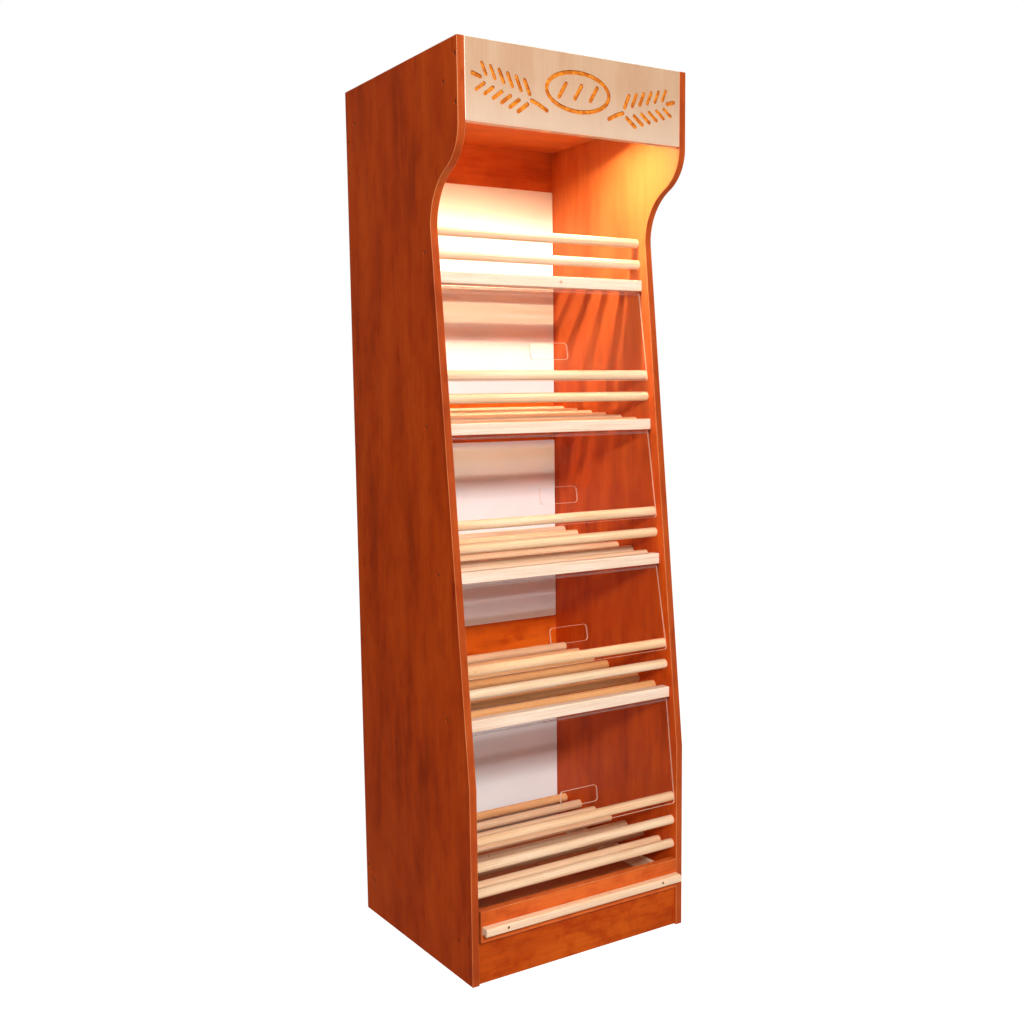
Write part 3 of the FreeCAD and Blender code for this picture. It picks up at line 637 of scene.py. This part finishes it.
def side_outline():
    """Points (y, z) round a side panel, starting at the foot of its back."""
    front, back, top = PANEL_LOW.y, PANEL_HIGH.y, PANEL_HIGH.z
    nose = Vector((front + NOSE_RADIUS, top - NOSE_HEIGHT))
    knee = Vector((front, KNEE_HEIGHT))
    outward = Vector((-math.cos(LEAN), math.sin(LEAN)))
    radii = NOSE_RADIUS + WAIST_RADIUS
    turn = math.acos((WAIST_RADIUS - (nose - knee).dot(outward)) / radii) - LEAN
    waist = nose - heading(turn) * radii
    points = [Vector((back, 0.0)), Vector((front, 0.0)), knee]
    points += [waist + heading(-LEAN + (turn + LEAN) * step / ARC_STEPS) * WAIST_RADIUS
               for step in range(ARC_STEPS + 1)]
    points += [nose - heading(turn * (1 - step / ARC_STEPS)) * NOSE_RADIUS for step in range(1, ARC_STEPS + 1)]
    return points + [Vector((front, top)), Vector((back, top))]


OUTLINE = side_outline()
print("outline points:", len(OUTLINE))

# %% Cut a side from its outline
RIM_EASE = 0.0012
HEAD_SUNK = 0.0015
RECESS_DEPTH, RECESS_SIDES = 0.0045, 28
BAR_CLEARANCE = 0.0001
BAR_END_GAP = 0.0005
ON_FACE = 0.002
FLAP_NUMBERS = (1, 2, 3, 4)


def screws_at(x):
    """Boxes of the carcass screws whose heads are on the face at this X."""
    return [box for box in SCREW_BOXES if min(abs(box[0].x - x), abs(box[1].x - x)) < ON_FACE]


def hinge_place(number):
    """The point that a flap turns about."""
    return next(joint["pos_m"] for joint in frame["joints"] if joint["name"] == "flap_%d_hinge" % number)


def side_panel(name, node):
    """A side panel with eased rims, screw recesses and the flaps' bearing holes."""
    low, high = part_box(node)
    side = 1 if low.x > 0 else -1
    outer, inner = (high.x, low.x) if side > 0 else (low.x, high.x)
    bm = drawn_out(OUTLINE, low.x, high.x)
    for rim in bm.faces:
        rim.material_index = 1 if abs(rim.normal.x) < 0.5 else 0 if rim.normal.x * side > 0 else 3
    ease(bm, sharp_edges(bm, 40), RIM_EASE, 3, 2)
    panel = as_piece(bm, name, [OUTER_LAMINATE, EDGE_BAND, EDGE_HIGHLIGHT, INNER_LAMINATE])

    cutter = bmesh.new()
    for box_low, box_high in screws_at(outer):
        y, z = ((box_low + box_high) / 2).yz
        head = (box_high.y - box_low.y) / 2
        add_bar(cutter, head, (outer + side * CUT_OVER, y, z), (outer - side * RECESS_DEPTH, y, z), 0, RECESS_SIDES)
    for number in FLAP_NUMBERS:
        bar_low, bar_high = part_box("flap_%d_pivot_bar" % number)
        y, z = hinge_place(number)[1:]
        radius = (bar_high.z - bar_low.z) / 2 + BAR_CLEARANCE
        end = (bar_high.x if side > 0 else bar_low.x) + side * BAR_END_GAP
        add_bar(cutter, radius, (inner - side * CUT_OVER, y, z), (end, y, z), 0)
    return cut_away(panel, cutter)


for side_name in ("left", "right"):
    node_name = "side_panel_" + side_name
    panel = side_panel("side_" + side_name, node_name)
    hand_over(panel, "cabinet", "panel_laminate", node_name)
    print(panel.name, len(panel.data.polygons), "faces")

# %% [markdown]
# ## Level boards, back rails and white sheets
# The boards between the sides run level, so their print does too. Those inside the cabinet are printed a lighter,
# stronger orange than the plinth, which is painted light for the lit interior, and the ceiling has a hole for the
# lamp's lead. The white sheets lie in front of the back rails and have small round corners, cut before their edges
# are eased.

# %% Ceiling, base, plinth and back rails
BOARD_EASE = 0.0008
LEAD_RADIUS = 0.006
BACK_RAILS = [place + "_back_rail" for place in ("top", "middle", "lower", "bottom")]
for node_name in ["base_board", "plinth_board", *BACK_RAILS]:
    brown = PLINTH_LAMINATE if node_name == "plinth_board" else LEVEL_LAMINATE
    board = eased_board(node_name + "_laminated", *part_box(node_name), BOARD_EASE, brown, EDGE_HIGHLIGHT)
    hand_over(board, "cabinet", "panel_laminate", node_name)

low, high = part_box("ceiling_board")
ceiling = eased_board("ceiling_laminated", low, high, BOARD_EASE, LEVEL_LAMINATE, EDGE_HIGHLIGHT)
outlet = next(mount["pos_m"] for mount in frame["record"]["mounts"] if mount["name"] == "lead_outlet")
drill = bmesh.new()
add_bar(drill, LEAD_RADIUS, (*outlet[:2], low.z - CUT_OVER), (*outlet[:2], high.z + CUT_OVER), 2)
hand_over(cut_away(ceiling, drill), "cabinet", "panel_laminate", "ceiling_board")
print("level boards done; lead hole at", [round(part, 3) for part in outlet])

# %% White sheets
SHEET_CORNER = 0.004
SHEET_EASE = 0.0004


def white_sheet(name, low, high):
    """A thin coated sheet with round corners and just broken edges."""
    bm = bmesh.new()
    box_between(bm, low, high)
    corners = [edge for edge in bm.edges if abs(edge.verts[0].co.y - edge.verts[1].co.y) > SAME_PLACE]
    ease(bm, corners, SHEET_CORNER, 8)
    ease(bm, sharp_edges(bm, 60), SHEET_EASE, 2)
    return soften(as_piece(bm, name, [WHITE_SHEET]))


for level in ("upper", "middle", "lower"):
    node_name = level + "_back_sheet"
    hand_over(white_sheet(level + "_white_sheet", *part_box(node_name)), "cabinet", "white_sheet", node_name)
print("white sheets done")

# %% [markdown]
# ## Rods
# More than forty rods are alike but for their place, so one tree of Geometry Nodes makes every row.
# Its points are the middles of the frame's own rods. Each rod is turned about its length by a
# random angle and given a random tone, both from a fixed seed, so that no two show the same grain.


# %% A tree that puts a rod on every point
def tree_on_points(name, **sockets):
    """An empty tree with named inputs, its input node's outputs and its output node."""
    tree = bpy.data.node_groups.new(name, "GeometryNodeTree")
    for label, kind in {"Points": "Geometry", **sockets}.items():
        tree.interface.new_socket(label, in_out="INPUT", socket_type="NodeSocket" + kind)
    tree.interface.new_socket("Geometry", in_out="OUTPUT", socket_type="NodeSocketGeometry")
    return tree, tree.nodes.new("NodeGroupInput").outputs, tree.nodes.new("NodeGroupOutput")


def chance(tree, seed, low, high):
    """A number that differs from point to point."""
    return add(tree, "FunctionNodeRandomValue", {2: low, 3: high, "Seed": seed}, data_type="FLOAT").outputs[1]


def along(tree, axis, distance):
    """A vector along one axis."""
    return add(tree, "ShaderNodeCombineXYZ", {axis: distance})


def copies(tree, given, shape, **inputs):
    """Copies of a shape on every point; the shape is a node, or the input that names an object."""
    if isinstance(shape, bpy.types.NodeSocket):
        shape = add(tree, "GeometryNodeObjectInfo", {"Object": shape}).outputs["Geometry"]
    return add(tree, "GeometryNodeInstanceOnPoints", {"Points": given["Points"], "Instance": shape, **inputs})


def realised(tree, instances, finish_socket, out):
    """Ends a tree: real geometry, smooth, in its finish."""
    real = add(tree, "GeometryNodeRealizeInstances", {0: instances})
    smooth = add(tree, "GeometryNodeSetShadeSmooth", {0: real})
    painted = add(tree, "GeometryNodeSetMaterial", {"Geometry": smooth, "Material": finish_socket})
    tree.links.new(painted.outputs[0], out.inputs[0])


def from_points(name, points, tree, **values):
    """A piece made by a tree on points; values fill the tree's named inputs."""
    mesh = bpy.data.meshes.new(name)
    mesh.from_pydata([tuple(point) for point in points], [], [])
    piece = new_object(name, mesh)
    maker = piece.modifiers.new("maker", "NODES")
    maker.node_group = tree
    for item in tree.interface.items_tree:
        if item.in_out == "INPUT" and item.name in values:
            maker[item.identifier] = values[item.name]
    return soften(settle(piece))


TONE_SEED = 17.0
ROD_TREE, given, out = tree_on_points(
    "rods_on_points", Length="Float", Radius="Float", Sides="Int", Seed="Int", Darkest="Float", Wood="Material")
start, end = [along(ROD_TREE, "X", maths(ROD_TREE, "MULTIPLY", given["Length"], half)) for half in (-0.5, 0.5)]
core_line = add(ROD_TREE, "GeometryNodeCurvePrimitiveLine", {"Start": start, "End": end})
ring = add(ROD_TREE, "GeometryNodeCurvePrimitiveCircle", {"Resolution": given["Sides"], "Radius": given["Radius"]})
rod = add(ROD_TREE, "GeometryNodeCurveToMesh", {"Curve": core_line, "Profile Curve": ring, "Fill Caps": True})
turn = along(ROD_TREE, "X", chance(ROD_TREE, given["Seed"], 0.0, 2 * math.pi))
rods = copies(ROD_TREE, given, rod, Rotation=turn)
shade = chance(ROD_TREE, maths(ROD_TREE, "ADD", given["Seed"], TONE_SEED), given["Darkest"], 1.0)
toned_rods = add(
    ROD_TREE, "GeometryNodeStoreNamedAttribute", {"Geometry": rods, "Name": "tone", "Value": shade},
    data_type="FLOAT", domain="INSTANCE")
realised(ROD_TREE, toned_rods, given["Wood"], out)

# %% Make every row of rods
ROD_SIDES = 48
OUTER_DARKEST = 0.45
ROD_ROWS = ["shelf_%d_%s" % (number, kind) for number in FLAP_NUMBERS for kind in ("guard_rods", "rods")]
ROD_ROWS += ["bottom_shelf_front_rods", "bottom_shelf_rods"]
for seed, node_name in enumerate(ROD_ROWS, start=3):
    boxes = solids_of(node_name)
    low, high = boxes[0]
    middles = [(box_low + box_high) / 2 for box_low, box_high in boxes]
    darkest = OUTER_DARKEST if "guard" in node_name or "front" in node_name else 0.0
    row = from_points(
        node_name + "_beech", middles, ROD_TREE, Length=high.x - low.x, Radius=(high.z - low.z) / 2,
        Sides=ROD_SIDES, Seed=seed, Darkest=darkest, Wood=ROD_BEECH)
    hand_over(row, "cabinet", "pale_beech", node_name)
    print(row.name, len(boxes), "rods")

# %% Front rails of the sloping shelves
RAIL_EASE = 0.0018
for number in FLAP_NUMBERS:
    node_name = "shelf_%d_front_rail" % number
    rail = eased_board(node_name + "_beech", *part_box(node_name), RAIL_EASE, RAIL_BEECH)
    hand_over(rail, "cabinet", "pale_beech", node_name)
print("front rails done")

# %% [markdown]
# ## Clear flaps
# A flap's CAD solid already has its outline and hand hole, and leans as it should. A merged copy
# only needs its edges broken, and its sawn rim in the paler finish. The edge in the bar is glued
# and clear.

# %% Flaps and their bars
FLAP_EASE = 0.0004
BROAD_FACE = 0.01
HELD_HEIGHT = 0.006


def refined_copy(name, node, width, finishes, steps=2, rim_of=None):
    """A merged copy of a CAD solid with eased edges; rim_of(face) tells the faces in the second finish."""
    bm = merged(node)
    bmesh.ops.dissolve_limit(bm, angle_limit=math.radians(1), verts=bm.verts, edges=bm.edges)
    for face in bm.faces:
        face.material_index = 1 if rim_of and rim_of(face) else 0
    if width:
        ease(bm, sharp_edges(bm, 50), width, steps, 1 if rim_of else -1, clamped=True)
    return soften(as_piece(bm, name, finishes))


for number in FLAP_NUMBERS:
    body = "flap_%d" % number
    sheet = refined_copy(body + "_acrylic", body + "_sheet", FLAP_EASE, [ACRYLIC, ACRYLIC_EDGE],
                         rim_of=lambda face: face.calc_area() < BROAD_FACE)
    held_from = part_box(body + "_sheet")[1].z - HELD_HEIGHT
    for face in sheet.data.polygons:
        if face.center.z > held_from:
            face.material_index = 0
    hand_over(sheet, body, "clear_acrylic", body + "_sheet")
    bar = refined_copy(body + "_bar", body + "_pivot_bar", 0.0, [ACRYLIC_BAR])
    hand_over(bar, body, "clear_acrylic", body + "_pivot_bar")
print("flaps done")

# %% [markdown]
# ## Header
# The header holds a plain bakery motif cut with a round-ended router: a loaf between two ears of
# wheat. The kernels repeat along a stem, so they are Geometry Nodes too: a pair of short strokes
# stands on each point of the stem and shrinks towards the tip.

# %% Strokes of the router
STROKE_WIDTH = 0.009
STROKE_DEPTH = 0.003
STROKE_OVER = 0.002
ROUND_STEPS = 8
HEADER_FINISHES = [HEADER_FILM, HEADER_EDGE, GROOVE]
MOTIF_MIDDLE = (HEADER_LOW + HEADER_HIGH) / 2
MOTIF_MIDDLE.y = HEADER_LOW.y


def half_round(centre, outward):
    """Points of a stroke's round end, from its right side to its left."""
    start = math.atan2(outward.y, outward.x) - math.pi / 2
    return [centre + heading(start + math.pi * step / ROUND_STEPS) * STROKE_WIDTH / 2
            for step in range(1, ROUND_STEPS)]


def groove_along(bm, path, closed=False):
    """Adds a groove of one width along points (x, z) about the motif's middle, with round ends."""
    path = [Vector(point) for point in path]
    left, right = [], []
    for number, point in enumerate(path):
        before = path[number - 1] if closed or number else point
        after = path[(number + 1) % len(path)] if closed or number < len(path) - 1 else point
        forward = (after - before).normalized()
        aside = Vector((-forward.y, forward.x)) * STROKE_WIDTH / 2
        left.append(point + aside)
        right.append(point - aside)
    if closed:
        loops = [left, right[::-1]]
    else:
        loops = [right + half_round(path[-1], path[-1] - path[-2]) + left[::-1]
                 + half_round(path[0], path[0] - path[1])]
    walls = []
    for loop in loops:
        front = [bm.verts.new(MOTIF_MIDDLE + Vector((p.x, -STROKE_OVER, p.y))) for p in loop]
        rear = [bm.verts.new((vert.co.x, MOTIF_MIDDLE.y + STROKE_DEPTH, vert.co.z)) for vert in front]
        for number, vert in enumerate(front):
            bm.faces.new((vert, rear[number], rear[number - 1], front[number - 1]))
        walls.append((front, rear))
    for layer in (0, 1):
        if closed:
            outer, inner = walls[0][layer], walls[1][layer][::-1]
            for number in range(len(outer)):
                bm.faces.new((outer[number], outer[number - 1], inner[number - 1], inner[number]))
        else:
            bm.faces.new(walls[0][layer])


print("motif's middle", [round(part, 3) for part in MOTIF_MIDDLE])

# %% A pair of kernels, and a tree that repeats it along a stem
KERNEL = (0.0, 0.011), (0.018, 0.033)
KERNEL_PAIRS = 6
TIP_SIZE = 0.8
EAR_START, EAR_END = Vector((0.128, -0.024)), Vector((0.234, 0.004))

pair_bm = bmesh.new()
for up in (-1, 1):
    groove_along(pair_bm, [(x, up * z) for x, z in KERNEL])
bmesh.ops.translate(pair_bm, vec=-MOTIF_MIDDLE, verts=pair_bm.verts)
kernel_pair = as_piece(pair_bm, "kernel_pair_shape", HEADER_FINISHES)

EAR_TREE, given, out = tree_on_points("kernels_on_points", Pair="Object", Stem="Vector", Tip="Float", Count="Int")
order = add(EAR_TREE, "GeometryNodeInputIndex").outputs[0]
size = mapped(EAR_TREE, order, 0.0, given["Count"], 1.0, given["Tip"])
aim = add(EAR_TREE, "FunctionNodeAlignEulerToVector", {"Vector": given["Stem"]}, axis="X", pivot_axis="Y")
pairs = copies(EAR_TREE, given, given["Pair"], Rotation=aim, Scale=size)
real_pairs = add(EAR_TREE, "GeometryNodeRealizeInstances", {0: pairs})
EAR_TREE.links.new(real_pairs.outputs[0], out.inputs[0])

# %% Rout the motif into the header
STALK = (0.082, -0.042), (0.102, -0.032), (0.120, -0.026)
TIP_KERNEL = (0.246, 0.007), (0.264, 0.012)
LOAF_MIDDLE, LOAF_HALF_WIDTH, LOAF_HALF_HEIGHT, LOAF_STEPS = 0.004, 0.082, 0.040, 48
SLASH_PITCH, SLASH = 0.041, ((-0.009, -0.010), (0.009, 0.018))
HEADER_EASE = 0.0011

stem = EAR_END - EAR_START
places = [EAR_START + stem * (number / (KERNEL_PAIRS - 1)) for number in range(KERNEL_PAIRS)]
routed = bmesh.new()
for side in (-1, 1):
    points = [MOTIF_MIDDLE + Vector((side * place.x, 0, place.y)) for place in places]
    ear = from_points(
        "ear_shape", points, EAR_TREE, Pair=kernel_pair, Stem=(side * stem.x, 0.0, stem.y), Tip=TIP_SIZE,
        Count=KERNEL_PAIRS)
    routed.from_mesh(ear.data)
    bpy.data.objects.remove(ear)
    for stroke in (STALK, TIP_KERNEL):
        groove_along(routed, [(side * x, z) for x, z in stroke])
loaf = [(LOAF_HALF_WIDTH * math.cos(angle), LOAF_MIDDLE + LOAF_HALF_HEIGHT * math.sin(angle))
        for angle in all_round(LOAF_STEPS)]
groove_along(routed, loaf, closed=True)
for slash in (-1, 0, 1):
    groove_along(routed, [(slash * SLASH_PITCH + x, z) for x, z in SLASH])
bpy.data.objects.remove(kernel_pair)
for wall in routed.faces:
    wall.material_index = HEADER_FINISHES.index(GROOVE)
header = eased_board("header_pale", HEADER_LOW, HEADER_HIGH, HEADER_EASE, HEADER_FILM, HEADER_EDGE)
header.data.materials.append(GROOVE)
hand_over(cut_away(header, routed, HEADER_FINISHES), "cabinet", "header_laminate", "header_board")
print("header", len(header.data.polygons), "faces")

# %% [markdown]
# ## Lamp
# Behind the header, out of sight, a fluorescent tube hangs between two holders under the ceiling
# board. Its metal caps have a rolled rim. A strip along its underside takes the bright finish, and
# the rest of the glass the dim one.

# %% Lamp pieces
CAP_OUTLINE = ((0, 0.97), (0.06, 1), (0.2, 1), (0.28, 0.965), (0.85, 0.965), (0.97, 0.92), (1, 0.85))
TUBE_SHOULDER, TUBE_NECK = 0.004, 0.94
LIT_HEIGHT = 0.003
BATTEN_EASE, HOLDER_EASE = 0.0012, 0.0008

batten = refined_copy("lamp_batten_enamel", "lamp_batten", BATTEN_EASE, [LAMP_ENAMEL], 3)
hand_over(batten, "cabinet", "lamp_white", "lamp_batten")
holders = refined_copy("lamp_holders_plastic", "lamp_holders", HOLDER_EASE, [WHITE_PLASTIC])
hand_over(holders, "cabinet", "white_plastic", "lamp_holders")


def lathed(bm, outline, put, sides=40):
    """Turns an outline of (distance, radius) round a line; put(distance, a, b) is a point's place."""
    rings = [[bm.verts.new(put(distance, radius * math.cos(angle), radius * math.sin(angle)))
              for angle in all_round(sides)] for distance, radius in outline]
    for near, far in zip(rings, rings[1:]):
        for i in range(sides):
            bm.faces.new((near[i - 1], near[i], far[i], far[i - 1]))
    bm.faces.new(rings[0])
    bm.faces.new(rings[-1])


def from_end(x, low, high, side=1):
    """Puts points at a distance from an end at X, round the middle of a box."""
    y, z = ((low + high) / 2).yz
    return lambda distance, a, b: (x + side * distance, y + a, z + b)


caps = bmesh.new()
for low, high in solids_of("lamp_tube_caps"):
    side = 1 if low.x > 0 else -1
    radius, length = (high.z - low.z) / 2, high.x - low.x
    lathed(caps, [(length * part, radius * share) for part, share in CAP_OUTLINE],
           from_end(low.x if side > 0 else high.x, low, high, side))
hand_over(soften(as_piece(caps, "lamp_tube_caps_metal", [CAP_METAL])), "cabinet", "tube_cap", "lamp_tube_caps")

radius, length = (LAMP_HIGH.z - LAMP_LOW.z) / 2, LAMP_HIGH.x - LAMP_LOW.x
glass = bmesh.new()
lathed(glass, [(0, radius * TUBE_NECK), (TUBE_SHOULDER, radius), (length - TUBE_SHOULDER, radius),
               (length, radius * TUBE_NECK)], from_end(LAMP_LOW.x, LAMP_LOW, LAMP_HIGH))
for strip in glass.faces:
    strip.material_index = 0 if strip.calc_center_median().z < LAMP_LOW.z + LIT_HEIGHT else 1
tube = soften(as_piece(glass, "lamp_tube_glass", [TUBE_LIT, TUBE_DIM]))
hand_over(tube, "cabinet", "lamp_tube", "lamp_tube")
print("lamp done, tube", round(length, 3), "m")

# %% [markdown]
# ## Screws
# Countersunk screws sit a little below the laminate. One head with a crossed recess is shaped once,
# and Geometry Nodes put it wherever the frame has a screw, each turned to a random angle.

# %% One screw head, and a tree that sets it
HEAD_RADIUS, SHANK_LENGTH, HEAD_RIM = 0.0047, 0.03, 0.0003
HEAD_SIDES = 24
CROSS_ARM, CROSS_HALF_WIDTH, CROSS_DEPTH = 0.58, 0.12, 0.34


def screw_head(name, radius, shank):
    """A head that looks along +Z with its rim at height 0, with a crossed recess."""
    bm = bmesh.new()
    lathed(bm, [(-shank, radius * 0.45), (-radius * 0.55, radius * 0.52), (-HEAD_RIM, radius * 0.97),
                (0.0, radius * 0.93)], lambda height, a, b: (a, b, height), HEAD_SIDES)
    head = as_piece(bm, name, [SCREW_STEEL])
    cross = bmesh.new()
    arm, half, deep = radius * CROSS_ARM, radius * CROSS_HALF_WIDTH, radius * CROSS_DEPTH
    box_between(cross, (-arm, -half, -deep), (arm, half, CUT_OVER))
    box_between(cross, (-half, -arm, -deep), (half, arm, CUT_OVER))
    return cut_away(head, cross, self_crossing=True)


SCREW_TREE, given, out = tree_on_points(
    "heads_on_points", Head="Object", Facing="Vector", Seed="Int", Metal="Material")
heads = copies(SCREW_TREE, given, given["Head"], Rotation=given["Facing"])
turn = along(SCREW_TREE, "Z", chance(SCREW_TREE, given["Seed"], 0.0, math.pi / 2))
turned_heads = add(SCREW_TREE, "GeometryNodeRotateInstances", {"Instances": heads, "Rotation": turn})
realised(SCREW_TREE, turned_heads, given["Metal"], out)

# %% Put the screws in
big_head = screw_head("screw_head_shape", HEAD_RADIUS, SHANK_LENGTH)
joined = bmesh.new()
for side in (-1, 1):
    face_x = -side * PANEL_LOW.x
    points = [(face_x - side * HEAD_SUNK, *((low + high) / 2).yz) for low, high in screws_at(face_x)]
    part = from_points(
        "side_screws", points, SCREW_TREE, Head=big_head, Facing=(0.0, side * math.pi / 2, 0.0), Seed=5 + side,
        Metal=SCREW_STEEL)
    joined.from_mesh(part.data)
    bpy.data.objects.remove(part)
screws = soften(as_piece(joined, "carcass_screws_steel", [SCREW_STEEL]))
hand_over(screws, "cabinet", "screw_steel", "carcass_screws")
print("carcass screws", len(screws.data.polygons), "faces")

# %% [markdown]
# ## Crumb drawer
# The drawer is a brown front on a pale box with a hardboard bottom. Its grip is a beech strip with
# a rounded top and a finger groove underneath, held by two small screws from the front.

# %% Drawer boards and slides
FRONT_EASE = 0.0012
BOX_EASE = 0.0006
CHANNEL_EASE = 0.0004

front = eased_board("drawer_front_laminated", *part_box("drawer_front"), FRONT_EASE, FRONT_LAMINATE, EDGE_HIGHLIGHT)
hand_over(front, "drawer", "panel_laminate", "drawer_front")
for node_name in ("drawer_bottom", "drawer_back", "drawer_side_left", "drawer_side_right"):
    wood = HARDBOARD if node_name == "drawer_bottom" else DRAWER_BOARD
    board = eased_board(node_name + "_plain", *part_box(node_name), BOX_EASE, wood, steps=2)
    hand_over(board, "drawer", "drawer_board", node_name)
for side_name in ("left", "right"):
    bar_node, channel_node = "drawer_slide_bar_" + side_name, "cabinet_runner_" + side_name
    bar = eased_board("slide_bar_%s_steel" % side_name, *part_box(bar_node), BOX_EASE, RUNNER_STEEL, steps=2)
    hand_over(bar, "drawer", "runner_steel", bar_node)
    channel = refined_copy("runner_%s_steel" % side_name, channel_node, CHANNEL_EASE, [RUNNER_STEEL])
    hand_over(channel, "cabinet", "runner_steel", channel_node)
print("drawer boards done")

# %% Grip and its screws
TOP_RADIUS, LIP_RADIUS, GROOVE_RADIUS, GROOVE_OUT = 0.006, 0.003, 0.005, 0.0075
GRIP_STEPS = 8
SMALL_HEAD_RADIUS, SMALL_SHANK_LENGTH, SMALL_HEAD_SUNK = 0.0033, 0.02, 0.0009
SMALL_RECESS_RADIUS, SMALL_RECESS_DEPTH = 0.0034, 0.004

grip_low, grip_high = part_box("drawer_handle")


def grip_outline():
    """Points (y, z) round the grip's section."""
    front, back, low, high = grip_low.y, grip_high.y, grip_low.z, grip_high.z
    points = [Vector((back, high))]
    for radius, z, start in ((TOP_RADIUS, high - TOP_RADIUS, 0.5), (LIP_RADIUS, low + LIP_RADIUS, 1)):
        points += [Vector((front + radius, z)) + heading(math.pi * (start + step / (2 * GRIP_STEPS))) * radius
                   for step in range(GRIP_STEPS + 1)]
    groove = Vector((back - GROOVE_OUT, low))
    points += [groove + heading(math.pi - math.pi * step / (2 * GRIP_STEPS)) * GROOVE_RADIUS
               for step in range(2 * GRIP_STEPS + 1)]
    return points + [Vector((back, low))]


bm = drawn_out(grip_outline(), grip_low.x, grip_high.x)
ends = [edge for edge in sharp_edges(bm, 60) if abs(edge.verts[0].co.x - edge.verts[1].co.x) < SAME_PLACE]
ease(bm, ends, BOX_EASE, 2)
grip = as_piece(bm, "drawer_grip_beech", [GRIP_BEECH])
holes = bmesh.new()
grip_points = []
for low, high in solids_of("drawer_handle_screws"):
    x, z = ((low + high) / 2).xz
    y = grip_low.y
    add_bar(holes, SMALL_RECESS_RADIUS, (x, y - CUT_OVER, z), (x, y + SMALL_RECESS_DEPTH, z), 1, HEAD_SIDES)
    grip_points.append((x, y + SMALL_HEAD_SUNK, z))
hand_over(cut_away(grip, holes), "drawer", "pale_beech", "drawer_handle")
small_head = screw_head("small_head_shape", SMALL_HEAD_RADIUS, SMALL_SHANK_LENGTH)
grip_screws = from_points(
    "drawer_grip_screws_steel", grip_points, SCREW_TREE, Head=small_head, Facing=(math.pi / 2, 0.0, 0.0), Seed=9,
    Metal=SCREW_STEEL)
hand_over(grip_screws, "drawer", "screw_steel", "drawer_handle_screws")
for shape in (big_head, small_head):
    bpy.data.objects.remove(shape)
print("grip", len(grip.data.polygons), "faces")

# %% [markdown]
# ## Sizes
# The dressed rack must stay inside the CAD rack's box. Both boxes are printed.

# %% Print the sizes and finish
visual_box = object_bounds()
for label, box in (("CAD box", CAD_BOX), ("dressed", visual_box)):
    print(label, [tuple(round(part, 4) for part in corner) for corner in box])
